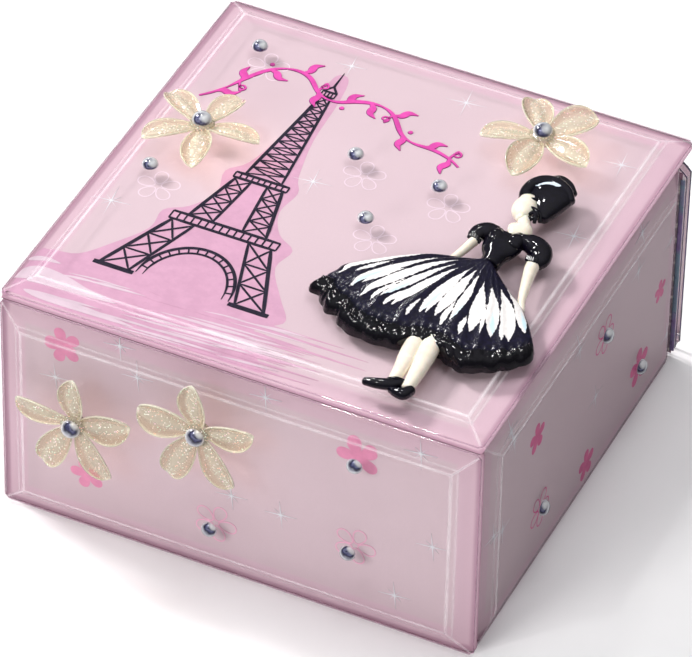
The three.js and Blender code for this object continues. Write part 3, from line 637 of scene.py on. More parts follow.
# --- ornamental vine in magenta along an arc, with a darker edge
def along(t):
    c = catmull([(122, 478), (170, 372), (262, 296), (368, 262), (470, 300), (560, 300), (660, 318), (752, 362), (846, 392), (938, 462)], 12)
    f = t * (len(c) - 1)
    i = min(int(f), len(c) - 2)
    p = c[i] + (c[i + 1] - c[i]) * (f - i)
    d = c[i + 1] - c[i]
    d /= np.linalg.norm(d)
    return p, d
def vine(layer, grow):
    sway = lambda t: 26 * math.sin(t * math.pi * 5.5)
    pts = []
    for i in range(41):
        t = i / 40
        p, d = along(t)
        nn = np.array([-d[1], d[0]])
        pts.append(tuple(p + nn * sway(t)))
    layer.stroke(LS(pts), lambda t: 0.42 + 0.75 * abs(math.cos(t * math.pi * 5.5)) * (1 - abs(2 * t - 1) ** 6) + grow, n=3)
    for k in range(11):
        t = (k + 0.5) / 11
        p, d = along(t)
        nn = np.array([-d[1], d[0]])
        side = -1 if k % 2 else 1
        p = p + nn * sway(t)
        a = p + nn * side * 14 + d * 20
        b = p + nn * side * 40 + d * 26
        c = p + nn * side * 54 + d * 52
        # leaf
        layer.stroke(LS([tuple(p), tuple(a), tuple(b), tuple(c)]), lambda u: 0.2 + 1.65 * math.sin(math.pi * u) ** 1.4 + grow, n=6)
        if k % 3 == 1:
            q = p - nn * side * 30 - d * 4
            sp = spiral(q[0], q[1], 14, 4, 0.6 + k, 1.2 * side, 16)
            layer.stroke(LS([tuple(p)] + sp), lambda u: 0.34 * (1 - u) + 0.16 + grow, n=3)
        elif k % 3 == 2:
            q = p - nn * side * 26 + d * 10
            x, y = L(q[0], q[1])
            layer.disc(x, y, 0.7 + grow * .5)
vd = Ink(1.25); vine(vd, 0.26); vd.build("lid_vine_edge", on_lid, 0.02, MAGENTA_D, "lid")
vm = Ink(1.25); vine(vm, 0.0); vm.build("lid_vine", lambda x, y, h: on_lid(x + 0.06, y + 0.08, h), 0.30, MAGENTA, "lid")

# --- five-petalled printed flowers and star glints
def bloom_fill(layer, x, y, r, a0):
    for k in range(5):
        a = a0 + k * 2 * math.pi / 5
        c, s = math.cos(a), math.sin(a)
        pts = []
        for i in range(18):
            u = 2 * math.pi * i / 18
            px, py = r * (0.54 + 0.46 * math.cos(u)), r * 0.31 * math.sin(u) * (1 + 0.25 * math.cos(u))
            pts.append((x + px * c - py * s, y + px * s + py * c))
        layer.blob(pts, 1, False)
    layer.disc(x, y, r * 0.22)
def bloom_line(layer, x, y, r, a0, w=0.3):
    for k in range(5):
        a = a0 + k * 2 * math.pi / 5
        c, s = math.cos(a), math.sin(a)
        pts = []
        for i in range(18):
            u = 2 * math.pi * i / 18
            px, py = r * (0.58 + 0.42 * math.cos(u)), r * 0.29 * math.sin(u) * (1 + 0.25 * math.cos(u))
            pts.append((x + px * c - py * s, y + px * s + py * c))
        layer.stroke(pts, w, n=2, closed=True)
def glint(layer, x, y, r, a0=0.0):
    for k in range(8):
        a = a0 + k * math.pi / 4
        rr = r if k % 2 == 0 else r * 0.5
        w = 0.34 if k % 2 == 0 else 0.22
        layer.stroke([(x, y), (x + rr * 0.5 * math.cos(a), y + rr * 0.5 * math.sin(a)), (x + rr * math.cos(a), y + rr * math.sin(a))],
                     lambda t, w=w: w * (1 - t) ** 1.3 + 0.02, n=3)
    layer.disc(x, y, 0.34)

gl = Ink()
for px, py, r in ((850, 155, 6.5), (1380, 215, 6), (600, 690, 6), (110, 1030, 6.5), (1385, 575, 6.5), (470, 150, 5)):
    glint(gl, *L(px, py), r, 0.12)
gl.build("lid_glints", on_lid, 0.05, SPARK, "lid")
LID_GEMS = [((bx("lid_gem_%d" % i)[0][0] + bx("lid_gem_%d" % i)[1][0]) / 2 - CX, (bx("lid_gem_%d" % i)[0][1] + bx("lid_gem_%d" % i)[1][1]) / 2 - CY) for i in range(1, 6)]
gh = Ink()
for x, y in LID_GEMS:
    bloom_line(gh, x + 4.6, y - 4.2, 6.6, 0.5, 0.34)
gh.build("lid_ghost_flowers", on_lid, 0.02, GHOST, "lid")

fr_fill, fr_line, fr_gl = Ink(), Ink(), Ink()
def Fp(x, z):
    return (x - 76, z)
for x, z, r in ((20, 66.2, 5.9), (27.5, 20, 5.6), (114, 61.5, 6.9)):
    bloom_fill(fr_fill, *Fp(x, z), r, 1.9)
for x, z, r in ((69, 17.8, 6.8), (113.5, 27.2, 6.6)):
    bloom_line(fr_line, *Fp(x, z), r, 1.2, 0.42)
for px, py in ((175, 262), (440, 160), (380, 75), (843, 88), (1330, 105), (742, 495), (900, 505), (1378, 433), (1265, 670)):
    glint(fr_gl, px / 10 - 76, (799.7 - py) / 10, 5.2, 0.1)
fr_fill.build("front_blooms", on_front, 0.03, PINK_DEEP, "case")
fr_line.build("front_bloom_lines", on_front, 0.10, PINK_LINE, "case")
fr_gl.build("front_glints", on_front, 0.17, SPARK, "case")

for side, place in (("right", on_right), ("left", on_left)):
    a, b, c = Ink(), Ink(), Ink()
    for y, z, r in ((39.8, 52.5, 5.3), (130.8, 38, 4.1), (78.7, 10.7, 5.5), (117, 19, 6.8)):
        bloom_fill(a, y - 75.83, z, r, 1.6)
    for y, z, r in ((88, 53.5, 6.5), (44.3, 21, 6.5)):
        bloom_line(b, y - 75.83, z, r, 1.0, 0.42)
    for px, py in ((230, 155), (222, 125), (690, 172), (1120, 200), (1165, 100), (1370, 270), (833, 465), (135, 438), (168, 448), (1385, 655)):
        glint(c, px / 10 - 75.83, (799.7 - py) / 10, 5.2, 0.1)
    a.build(side + "_blooms", place, 0.03, ROSE if side == "right" else PINK_DEEP, "case")
    b.build(side + "_bloom_lines", place, 0.10, ROSE if side == "right" else PINK, "case")
    c.build(side + "_glints", place, 0.17, SPARK, "case")
a, c = Ink(), Ink()
for x, z, r in ((-44, 50, 5.6), (30, 18, 5.6), (4, 40, 6.4), (52, 54, 5.0)):
    bloom_fill(a, x, z, r, 1.7)
for x, z in ((-20, 22), (20, 58), (-58, 26), (48, 32)):
    glint(c, x, z, 5.2, 0.1)
a.build("rear_blooms", on_rear, 0.03, PINK_DEEP, "case")
c.build("rear_glints", on_rear, 0.17, SPARK, "case")

# ------------------------------------------------------------------ lofted forms
def loft_mesh(spine, ring=20, sub=7, up=(0, 0, 1), cap=0.9, power=1.0):
    """closed form along a spine of (x, y, z, half width, half thickness); both ends are rounded over"""
    S = catmull(spine, sub)
    C = S[:, :3]
    T = np.gradient(C, axis=0)
    T /= np.linalg.norm(T, axis=1)[:, None] + 1e-9
    upv = np.array(up, float)
    first, last = [], []
    for k in (0.30, 0.62, 0.86, 0.97):
        a = math.sqrt(1 - (1 - k) ** 2)
        first.append((C[0] - T[0] * cap * S[0, 3] * (1 - k), T[0], S[0, 3] * a, S[0, 4] * a))
        last.append((C[-1] + T[-1] * cap * S[-1, 3] * (1 - k), T[-1], S[-1, 3] * a, S[-1, 4] * a))
    rings = first + [(C[i], T[i], S[i, 3], S[i, 4]) for i in range(len(S))] + last[::-1]
    V, F = [], []
    for c, t, w_, h_ in rings:
        side = np.cross(t, upv)
        side /= np.linalg.norm(side) + 1e-9
        nn = np.cross(side, t)
        for k in range(ring):
            a = 2 * math.pi * k / ring
            ca, sa = math.cos(a), math.sin(a)
            if power != 1.0:
                ca = math.copysign(abs(ca) ** power, ca)
                sa = math.copysign(abs(sa) ** power, sa)
            V.append(c + side * w_ * ca + nn * h_ * sa)
    m = len(rings)
    for i in range(m - 1):
        for k in range(ring):
            j = (k + 1) % ring
            F.append((i * ring + k, i * ring + j, (i + 1) * ring + j, (i + 1) * ring + k))
    V.append(rings[0][0] - rings[0][1] * cap * rings[0][2] * 0.12)
    V.append(rings[-1][0] + rings[-1][1] * cap * rings[-1][2] * 0.12)
    a, b = len(V) - 2, len(V) - 1
    for k in range(ring):
        j = (k + 1) % ring
        F.append((a, j, k))
        F.append((b, (m - 1) * ring + k, (m - 1) * ring + j))
    return [np.array(v) for v in V], F

class Cast:
    """several closed forms gathered in one object, each with its own material"""
    def __init__(self, place):
        self.v, self.f, self.mi, self.place = [], [], [], place
    def add(self, V, F, mi):
        o = len(self.v)
        self.v += [tuple(v) for v in V]
        self.f += [tuple(i + o for i in f) for f in F]
        self.mi += [mi] * len(F)
    def tube(self, spine, mi, **k):
        V, F = loft_mesh(spine, **k)
        self.add(V, F, mi)
    def build(self, name, mats, body, slot, replaces=(), attr=None):
        ob = new_obj(name, [self.place(*v) for v in self.v], self.f, mats, body, True, replaces, None, self.mi)
        fix_normals(ob)
        if attr is not None:
            ca = ob.data.color_attributes.new("paint", "FLOAT_COLOR", "POINT")
            ca.data.foreach_set("color", np.array(attr, dtype=np.float32).ravel())
        return ob

def sdf(P, poly):
    """signed distance, positive inside, of points P to a closed polygon (mm)"""
    poly = np.array(poly, float)
    A, B = poly, np.roll(poly, -1, 0)
    d = np.full(len(P), 1e9)
    inside = np.zeros(len(P), bool)
    for a, b in zip(A, B):
        ab = b - a
        t = np.clip(((P - a) @ ab) / (ab @ ab + 1e-12), 0, 1)
        q = a + t[:, None] * ab
        d = np.minimum(d, np.hypot(*(P - q).T))
        cond = (a[1] > P[:, 1]) != (b[1] > P[:, 1])
        xi = a[0] + (P[:, 1] - a[1]) * (b[0] - a[0]) / ((b[1] - a[1]) if abs(b[1] - a[1]) > 1e-9 else 1e-9)
        inside ^= cond & (P[:, 0] < xi)
    return np.where(inside, d, -d)

# ------------------------------------------------------------------ enamels, resin, foil
def make_skin():
    M = Mat("ivory_enamel")
    n1 = M.noise(420, 3, 0.5)
    r = M.ramp(n1.outputs["Fac"], [(0.3, lin(233, 222, 203)), (0.7, lin(243, 234, 218))])
    M.bsdf(r.outputs["Color"], M.maprange(n1.outputs["Fac"], 0.3, 0.7, 0.16, 0.3), Coat_Weight=0.5, Coat_Roughness=0.12)
    M.b.inputs["Subsurface Weight"].default_value = 0.15
    M.b.inputs["Subsurface Scale"].default_value = 0.0008
    M.bump(n1.outputs["Fac"], 0.08, 0.0001)
    return M.end()
def make_black():
    M = Mat("black_enamel")
    at = M.n("ShaderNodeVertexColor", layer_name="paint")
    sp = M.n("ShaderNodeSeparateColor")
    M.l(at.outputs["Color"], sp.inputs[0])
    n1 = M.noise(700, 3, 0.6)
    base = M.ramp(n1.outputs["Fac"], [(0.35, lin(5, 3, 10)), (0.7, lin(12, 9, 24))])
    k = M.maprange(sp.outputs[0], 0.48, 0.52, 0.0, 1.0)
    mix = M.n("ShaderNodeMix", data_type="RGBA")
    M.l(k, mix.inputs[0])
    M.l(base.outputs["Color"], mix.inputs[6])
    mix.inputs[7].default_value = (*lin(214, 226, 238), 1)
    M.bsdf(mix.outputs[2], M.maprange(n1.outputs["Fac"], 0.3, 0.7, 0.05, 0.12), Coat_Weight=0.3, Coat_Roughness=0.03, Specular_IOR_Level=0.4)
    M.bump(M.noise(330, 2, 0.5).outputs["Fac"], 0.35, 0.0003)
    return M.end()
def make_skirt():
    M = Mat("painted_skirt")
    at = M.n("ShaderNodeVertexColor", layer_name="paint")
    sp = M.n("ShaderNodeSeparateColor")
    M.l(at.outputs["Color"], sp.inputs[0])
    rag = M.noise(900, 4, 0.65)
    fine = M.noise(2600, 2, 0.5)
    add = M.n("ShaderNodeMath", operation="MULTIPLY_ADD")
    M.l(rag.outputs["Fac"], add.inputs[0]); add.inputs[1].default_value = 0.5
    M.l(sp.outputs[0], add.inputs[2])
    k = M.maprange(add.outputs[0], 0.80, 0.835, 0.0, 1.0)
    add2 = M.n("ShaderNodeMath", operation="MULTIPLY_ADD")
    M.l(fine.outputs["Fac"], add2.inputs[0]); add2.inputs[1].default_value = 0.3
    M.l(sp.outputs[1], add2.inputs[2])
    k2 = M.maprange(add2.outputs[0], 0.55, 0.8, 0.0, 1.0)
    navy = M.ramp(rag.outputs["Fac"], [(0.35, lin(7, 5, 20)), (0.7, lin(18, 14, 44))])
    white = M.ramp(fine.outputs["Fac"], [(0.3, lin(228, 224, 222)), (0.7, lin(244, 240, 238))])
    mixb = M.n("ShaderNodeMix", data_type="RGBA")
    M.l(k2, mixb.inputs[0]); M.l(white.outputs["Color"], mixb.inputs[6]); mixb.inputs[7].default_value = (*lin(199, 226, 238), 1)
    mix = M.n("ShaderNodeMix", data_type="RGBA")
    M.l(k, mix.inputs[0]); M.l(navy.outputs["Color"], mix.inputs[6]); M.l(mixb.outputs[2], mix.inputs[7])
    mixh = M.n("ShaderNodeMix", data_type="RGBA")
    M.l(sp.outputs[2], mixh.inputs[0]); M.l(mix.outputs[2], mixh.inputs[6]); mixh.inputs[7].default_value = (*lin(9, 7, 14), 1)
    rg = M.maprange(sp.outputs[2], 0.0, 1.0, 0.26, 0.06)
    M.bsdf(mixh.outputs[2], rg, Coat_Weight=0.15, Coat_Roughness=0.08, Specular_IOR_Level=0.35)
    M.bump(rag.outputs["Fac"], 0.25, 0.0002)
    return M.end()
def make_resin(name, tone_in, tone_rim):
    """cast resin with fine glitter: milky along a petal's raised spine, clear in its flanks, with a painted highlight
    along its rim
    """
    M = Mat(name)
    at = M.n("ShaderNodeVertexColor", layer_name="paint")
    sp = M.n("ShaderNodeSeparateColor")
    M.l(at.outputs["Color"], sp.inputs[0])
    n1 = M.noise(240, 3, 0.5)
    n2 = M.noise(900, 3, 0.6)
    mix = M.n("ShaderNodeMix", data_type="RGBA")
    M.l(sp.outputs[0], mix.inputs[0]); mix.inputs[6].default_value = (*tone_in, 1); mix.inputs[7].default_value = (*tone_rim, 1)
    # painted highlight: the rim mask (green channel) turns the resin pale and less clear
    mix_rim_highlight = M.n("ShaderNodeMix", data_type="RGBA")
    M.l(sp.outputs[1], mix_rim_highlight.inputs[0]); M.l(mix.outputs[2], mix_rim_highlight.inputs[6]); mix_rim_highlight.inputs[7].default_value = (*lin(246, 246, 228), 1)
    vo = M.n("ShaderNodeTexVoronoi", feature="F1")
    vo.inputs["Scale"].default_value = 2300
    M.l(M.coords(), vo.inputs["Vector"])
    spc = M.n("ShaderNodeSeparateColor"); M.l(vo.outputs["Color"], spc.inputs[0])
    lim = M.maprange(sp.outputs[0], 0.0, 1.0, 0.76, 0.94)
    pick = M.n("ShaderNodeMath", operation="GREATER_THAN"); M.l(spc.outputs[0], pick.inputs[0]); M.l(lim, pick.inputs[1])
    near = M.n("ShaderNodeMath", operation="LESS_THAN"); M.l(vo.outputs["Distance"], near.inputs[0]); near.inputs[1].default_value = 0.40
    fleck = M.n("ShaderNodeMath", operation="MULTIPLY"); M.l(pick.outputs[0], fleck.inputs[0]); M.l(near.outputs[0], fleck.inputs[1])
    hue = M.ramp(spc.outputs[1], [(0.0, (1.0, 0.42, 0.28)), (0.25, (1.0, 0.80, 0.66)), (0.45, (1.0, 1.0, 0.95)), (0.65, (0.70, 1.0, 0.74)), (0.85, (1.0, 1.0, 1.0)), (1.0, (1.0, 0.55, 0.75))])
    mixf = M.n("ShaderNodeMix", data_type="RGBA")
    M.l(fleck.outputs[0], mixf.inputs[0]); M.l(mix_rim_highlight.outputs[2], mixf.inputs[6]); M.l(hue.outputs["Color"], mixf.inputs[7])
    tr = M.maprange(sp.outputs[0], 0.0, 1.0, 0.74, 0.97)
    cl = M.n("ShaderNodeMath", operation="MULTIPLY_ADD"); M.l(n2.outputs["Fac"], cl.inputs[0]); cl.inputs[1].default_value = -0.18; M.l(tr, cl.inputs[2])
    rim = M.n("ShaderNodeMath", operation="MULTIPLY_ADD"); M.l(sp.outputs[1], rim.inputs[0]); rim.inputs[1].default_value = -0.35; M.l(cl.outputs[0], rim.inputs[2])
    sub = M.n("ShaderNodeMath", operation="SUBTRACT", use_clamp=True); M.l(rim.outputs[0], sub.inputs[0]); M.l(fleck.outputs[0], sub.inputs[1])
    M.bsdf(mixf.outputs[2], M.maprange(n1.outputs["Fac"], 0.3, 0.7, 0.03, 0.12), IOR=1.5, Coat_Weight=0.5, Coat_Roughness=0.03)
    M.l(sub.outputs[0], M.b.inputs["Transmission Weight"])
    M.bump(n1.outputs["Fac"], 0.12, 0.0003)
    t = M.n("ShaderNodeBsdfTransparent"); t.inputs["Color"].default_value = (0.80, 0.74, 0.73, 1)
    lp = M.n("ShaderNodeLightPath")
    ms = M.n("ShaderNodeMixShader")
    M.l(lp.outputs["Is Shadow Ray"], ms.inputs[0]); M.l(M.b.outputs[0], ms.inputs[1]); M.l(t.outputs[0], ms.inputs[2])
    M.l(ms.outputs[0], M.out.inputs["Surface"])
    return M.m
def make_painted_foil(name):
    """acrylic dome over silver foil with its reflections painted in: light and dark bands set by the dome's normal
    against one fixed direction
    """
    M = Mat(name)
    tc = M.n("ShaderNodeTexCoord")
    nz = M.noise(420, 3, 0.6)
    def along(v, amp=0.0):
        d = M.n("ShaderNodeVectorMath", operation="DOT_PRODUCT")
        M.l(tc.outputs["Normal"], d.inputs[0]); d.inputs[1].default_value = v
        if not amp:
            return d.outputs["Value"]
        a = M.n("ShaderNodeMath", operation="MULTIPLY_ADD")
        M.l(nz.outputs["Fac"], a.inputs[0]); a.inputs[1].default_value = amp; M.l(d.outputs["Value"], a.inputs[2])
        return a.outputs[0]
    r = M.ramp(M.maprange(along((0.31, -0.69, 0.66), 0.55), -0.05, 1.30, 0, 1), [(0.22, lin(236, 238, 242)), (0.44, lin(150, 152, 162)), (0.54, lin(246, 248, 250)), (0.66, lin(200, 202, 210)), (0.76, lin(128, 130, 146)), (0.83, lin(40, 40, 60)), (0.90, lin(70, 72, 112)), (0.96, lin(126, 128, 160)), (1.0, lin(60, 62, 92))])
    # painted highlight: near white where the normal turns towards a second fixed direction, the rest keeps the painted
    # bands
    lit = M.maprange(along((0.571, -0.234, 0.787), 0.25), 0.92, 1.09, 0, 1)
    mx = M.n("ShaderNodeMix", data_type="RGBA")
    M.l(lit, mx.inputs[0]); M.l(r.outputs["Color"], mx.inputs[6]); mx.inputs[7].default_value = (*lin(236, 238, 240), 1)
    M.bsdf(mx.outputs[2], 0.2, 0.35, Coat_Weight=1.0, Coat_Roughness=0.02)
    M.bump(nz.outputs["Fac"], 0.08, 0.0002)
    return M.end()
SKIN, BLACK, SKIRTM, FOIL = make_skin(), make_black(), make_skirt(), make_painted_foil("gem_foil_painted_reflection")
RESIN = make_resin("cast_resin", lin(222, 217, 197), lin(234, 226, 201))

# ------------------------------------------------------------------ gems
def dome(name, node, mat=FOIL):
    a, b = bx(node)
    c = (a + b) / 2
    ext = b - a
    ax = int(np.argmin(ext))
    mid = [c[0] - CX, c[1] - CY, c[2]]
    sgn = 1.0
    if ax == 1: sgn = -1.0 if mid[1] < 0 else 1.0
    if ax == 0: sgn = 1.0 if mid[0] > 0 else -1.0
    h = ext[ax]
    r = max(ext[(ax + 1) % 3], ext[(ax + 2) % 3]) / 2
    base = (a[ax] if sgn > 0 else b[ax]) + (sgn * 0.6 if "flower" in node else 0)
    V, F = [], []
    prof = [(0.0, -0.02), (0.93, -0.02), (1.0, 0.06)] + [(math.cos(t) ** 0.86, 0.10 + 0.90 * math.sin(t)) for t in np.linspace(0.04, math.pi / 2 - 0.14, 10)]
    ns = 36
    def at(rr, hh, k):
        an = 2 * math.pi * k / ns
        p = [0, 0, 0]
        p[ax] = base + sgn * hh * h
        p[(ax + 1) % 3] = c[(ax + 1) % 3] + rr * r * math.cos(an)
        p[(ax + 2) % 3] = c[(ax + 2) % 3] + rr * r * math.sin(an)
        return Vector(p) * MM
    for rr, hh in prof[1:]:
        for k in range(ns):
            V.append(at(rr, hh, k))
    m = len(prof) - 1
    for i in range(m - 1):
        for k in range(ns):
            j = (k + 1) % ns
            F.append((i * ns + k, i * ns + j, (i + 1) * ns + j, (i + 1) * ns + k))
    V.append(at(0, -0.02, 0)); V.append(at(0, 1.0, 0))
    for k in range(ns):
        j = (k + 1) % ns
        F.append((len(V) - 2, j, k)); F.append((len(V) - 1, (m - 1) * ns + k, (m - 1) * ns + j))
    body = "lid" if node.startswith("lid") else "case"
    ob = new_obj(name, V, F, mat, body, True, (node,))
    fix_normals(ob)
    return ob
for n in sorted(N):
    if "_gem" in n:
        dome(n.replace("gem", "stone"), n)

# ------------------------------------------------------------------ cast blossoms
def blossom(name, node, cx_, cy_, angles, lengths, place, body, seed, tip=3.0):
    rr = random.Random(seed)
    V, F, A = [], [], []
    NS, NT = 26, 36
    for a_deg, L_ in zip(angles, lengths):
        a = math.radians(a_deg)
        ca, sa = math.cos(a), math.sin(a)
        W_ = 10.2 + rr.uniform(-0.5, 0.5)
        roll = rr.uniform(0.5, 0.95) * (1 if rr.random() > 0.35 else -1)
        r0 = 1.4
        o = len(V)
        for i in range(NS + 1):
            s = i / NS
            s = s ** 0.9
            x = r0 + (L_ - r0) * s
            hw = (W_ / 2) * ((s + 0.03) ** 0.86) * (max(1 - s, 0.0) ** 0.60) / 0.4130
            hw = max(hw, 0.05) if s < 1 else 0.05
            mid = 1.7 + (tip - 1.7) * s + 1.0 * math.sin(math.pi * s)
            for k in range(NT):
                ph = 2 * math.pi * k / NT
                t = math.cos(ph)
                th = (0.55 + 0.28 * abs(t) ** 3) * min(1.0, 0.25 + hw / 3.0)
                off = th * math.copysign(abs(math.sin(ph)) ** 0.55, math.sin(ph))
                cup = (0.46 * hw * t * t) + roll * 0.26 * hw * t
                fold = math.sin(math.pi * min(1, 0.08 + s * 1.02)) * min(1.0, hw / 4.0)
                crease = -0.62 * fold * (math.cos(math.pi * t / 0.60) if abs(t) < 0.60 else -1.0)
                y = hw * t
                z = mid + cup + off - crease
                V.append((cx_ + x * ca - y * sa, cy_ + x * sa + y * ca, z))
                flank = min(1.0, max(0.0, (abs(t) - 0.30) / 0.28))
                # green channel: the rim and the tip, where the resin gets its painted highlight
                rim = max(0.0, (abs(t) - 0.86) / 0.14)
                rim = max(rim, max(0.0, (s - 0.93) / 0.07))
                A.append((flank * (1 - 0.5 * max(0.0, (s - 0.86) / 0.14)), min(1.0, rim), 0, 1))
        for i in range(NS):
            for k in range(NT):
                j = (k + 1) % NT
                F.append((o + i * NT + k, o + (i + 1) * NT + k, o + (i + 1) * NT + j, o + i * NT + j))
        F.append(tuple(o + k for k in range(NT)))
        F.append(tuple(o + NS * NT + k for k in reversed(range(NT))))
    # hub on the glass that carries the petals and the stone
    o = len(V)
    prof = [(2.6, 0.0), (2.9, 0.4), (2.7, 1.3), (3.3, 2.2), (3.9, 3.2), (3.7, 3.9), (2.4, 4.22)]
    ns = 30
    for r_, h_ in prof:
        for k in range(ns):
            q = 2 * math.pi * k / ns
            lob = 1 + 0.05 * math.cos(5 * q - math.radians(angles[0]) * 5)
            V.append((cx_ + r_ * lob * math.cos(q), cy_ + r_ * lob * math.sin(q), h_)); A.append((0.15, 0, 0, 1))
    for i in range(len(prof) - 1):
        for k in range(ns):
            j = (k + 1) % ns
            F.append((o + i * ns + k, o + i * ns + j, o + (i + 1) * ns + j, o + (i + 1) * ns + k))
    F.append(tuple(o + k for k in reversed(range(ns))))
    F.append(tuple(o + (len(prof) - 1) * ns + k for k in range(ns)))
    ob = new_obj(name, [place(*v) for v in V], F, RESIN, body, True, (node,))
    fix_normals(ob)
    c = ob.data.color_attributes.new("paint", "FLOAT_COLOR", "POINT")
    c.data.foreach_set("color", np.array(A, dtype=np.float32).ravel())
    return ob
top = lambda x, y, z: W(x, y, LIDTOP + z)
fro = lambda x, y, z: Vector(((x + CX) * MM, (FRONTY_FLAT - z) * MM, y * MM))
FRONTY_FLAT = fg0[1]
blossom("lid_blossom_left", "lid_flower_left", -54.7, 11.8, [150, 70, -2, -72, -134], [17.8, 16.6, 19.1, 20.4, 18.9], top, "lid", 3, 2.6)
blossom("lid_blossom_right", "lid_flower_right", 37.4, 51.8, [122, 52, -23, -92, -155], [17.1, 18.7, 18.9, 20.8, 18.6], top, "lid", 5, 2.6)
blossom("front_blossom_left", "front_flower_left", -49.8, 44.4, [88, 21, -51, -121, 165], [18.3, 20.4, 19.6, 18.8, 18.8], fro, "case", 8, 3.8)
blossom("front_blossom_right", "front_flower_right", -9.8, 57.2, [94, 21, -53, -117, 169], [18.6, 19.6, 19.6, 19.7, 19.0], fro, "case", 9, 3.8)

# ------------------------------------------------------------------ the painted relief lady
# outlines in box-centred millimetres, with the height of the edge above the glass where there is a third number
SK_LEFT = [(44.7, -7.1, 4.6), (42.0, -8.4, 4.3), (36.9, -9.2, 3.6), (32.0, -10.4, 3.0), (27.4, -12.2, 2.7), (23.1, -14.7, 2.5), (18.9, -17.5, 2.4), (14.9, -20.6, 2.4), (11.0, -23.8, 2.4), (8.8, -26.2, 2.5), (8.0, -29.0, 2.6), (6.5, -31.8, 2.6), (5.2, -35.2, 2.6), (3.9, -38.2, 2.4)]
SK_HEM = [(3.9, -38.2, 2.4), (5.4, -39.5, 1.6), (8.2, -40.4, 1.2), (11.0, -43.8, 1.0), (13.6, -46.0, 0.8), (16.4, -46.2, 0.6), (18.8, -49.3, 0.5), (22.9, -51.3, 0.4), (27.5, -51.9, 0.4), (32.0, -52.2, 0.4), (35.1, -51.9, 0.4), (38.3, -51.3, 0.5), (41.5, -49.5, 0.6), (45.6, -49.0, 0.6), (50.1, -49.5, 0.5), (54.1, -51.1, 0.4), (58.6, -52.3, 0.3), (62.3, -50.4, 0.3), (65.8, -48.6, 0.3), (68.9, -46.2, 0.3), (71.7, -43.5, 0.3), (73.7, -40.7, 0.4), (74.5, -38.1, 0.6), (73.9, -35.7, 0.9)]
SK_RIGHT = [(50.4, -8.9, 2.6), (51.7, -10.4, 1.6), (54.1, -12.8, 1.2), (56.9, -15.4, 1.0), (59.9, -17.9, 0.8), (62.8, -20.0, 0.8), (65.7, -23.4, 0.8), (68.6, -27.0, 0.8), (71.5, -31.4, 0.8), (73.9, -35.7, 0.9)]
SK_WAIST = [(44.7, -7.1, 4.6), (46.5, -8.3, 5.2), (48.3, -9.2, 5.4), (49.5, -9.4, 4.6), (50.4, -8.9, 2.6)]
# one painted highlight that follows the front roll of hair: a narrow crescent
HAIRW = [(51.0 - 5.9 * math.cos(a), 23.4 + 6.6 * math.sin(a)) for a in np.linspace(0.55, 1.95, 9)] + \
        [(51.0 - 5.4 * math.cos(a), 23.4 + 5.2 * math.sin(a)) for a in np.linspace(1.80, 0.65, 9)]
def resample(c, n):
    c = catmull(c, 6)
    d = np.concatenate([[0], np.cumsum(np.linalg.norm(np.diff(c[:, :2], axis=0), axis=1))])
    t = np.linspace(0, d[-1], n)
    return np.stack([np.interp(t, d, c[:, k]) for k in range(c.shape[1])], 1)
NU, NV = 96, 240
Lc, Rc = resample(SK_LEFT, NU + 1), resample(SK_RIGHT, NU + 1)
Wc, Hc = resample(SK_WAIST, NV + 1), resample(SK_HEM, NV + 1)
uu = np.linspace(0, 1, NU + 1)[:, None, None]
vv = np.linspace(0, 1, NV + 1)[None, :, None]
P = (1 - vv) * Lc[:, None, :] + vv * Rc[:, None, :] + (1 - uu) * Wc[None] + uu * Hc[None] \
    - ((1 - uu) * (1 - vv) * Lc[0] + (1 - uu) * vv * Rc[0] + uu * (1 - vv) * Lc[-1] + uu * vv * Rc[-1])
u2, v2 = uu[..., 0], vv[..., 0]
XY = P[..., :2].copy()
wid = np.linalg.norm(XY[:, -1] - XY[:, 0], axis=1)[:, None] + 0 * v2
lng = 45.0
edge = np.minimum(np.minimum(v2, 1 - v2) * wid * 1.15, np.minimum((1 - u2) * lng, u2 * lng + 1.2))
roll_ = np.sqrt(np.clip(1 - (1 - np.clip(edge / 2.6, 0, 1)) ** 2, 0, 1))
folds = np.zeros((NU + 1, NV + 1))
rf = random.Random(21)
for k in range(11):
    c0 = (k + 0.5) / 11 + rf.uniform(-0.02, 0.02)
    wv = rf.uniform(0.018, 0.032)
    folds += rf.uniform(0.35, 0.75) * np.exp(-((v2 - c0 - 0.02 * np.sin(3 * u2 + k)) / wv) ** 2)
mound = 1 - 0.42 * np.abs(2 * v2 - 1) ** 2.6
hgt = (4.5 * mound + 0.5 * (1 - u2)) + (folds - 0.35) * (0.15 + 0.85 * u2) * 0.75
ruf = np.clip((u2 - 0.885) / 0.02, 0, 1)
lump = np.array([[mnoise.noise((XY[i, j, 0] * 0.55, XY[i, j, 1] * 0.55, 3.1)) for j in range(NV + 1)] for i in range(NU + 1)])
lump2 = np.array([[mnoise.noise((XY[i, j, 0] * 1.3, XY[i, j, 1] * 1.3, 9.7)) for j in range(NV + 1)] for i in range(NU + 1)])
hgt += ruf * (0.35 + 0.75 * lump + 0.5 * lump2) - 0.55 * np.exp(-((u2 - 0.88) / 0.014) ** 2) * (0.6 + 0.5 * np.sin(v2 * 190))
hgt += 0.10 * lump2 * (1 - ruf)
Z = 0.15 + (hgt - 0.15) * roll_
scal = 0.55 * np.abs(np.sin(math.pi * 15 * v2 + 1.2 * np.sin(9 * v2))) * np.clip((u2 - 0.86) / 0.14, 0, 1)
cen = XY[0].mean(0)
dirn = XY - cen
dirn /= np.linalg.norm(dirn, axis=2)[..., None] + 1e-9
XY = XY + dirn * (scal - 0.25)[..., None]
pts = XY.reshape(-1, 2)
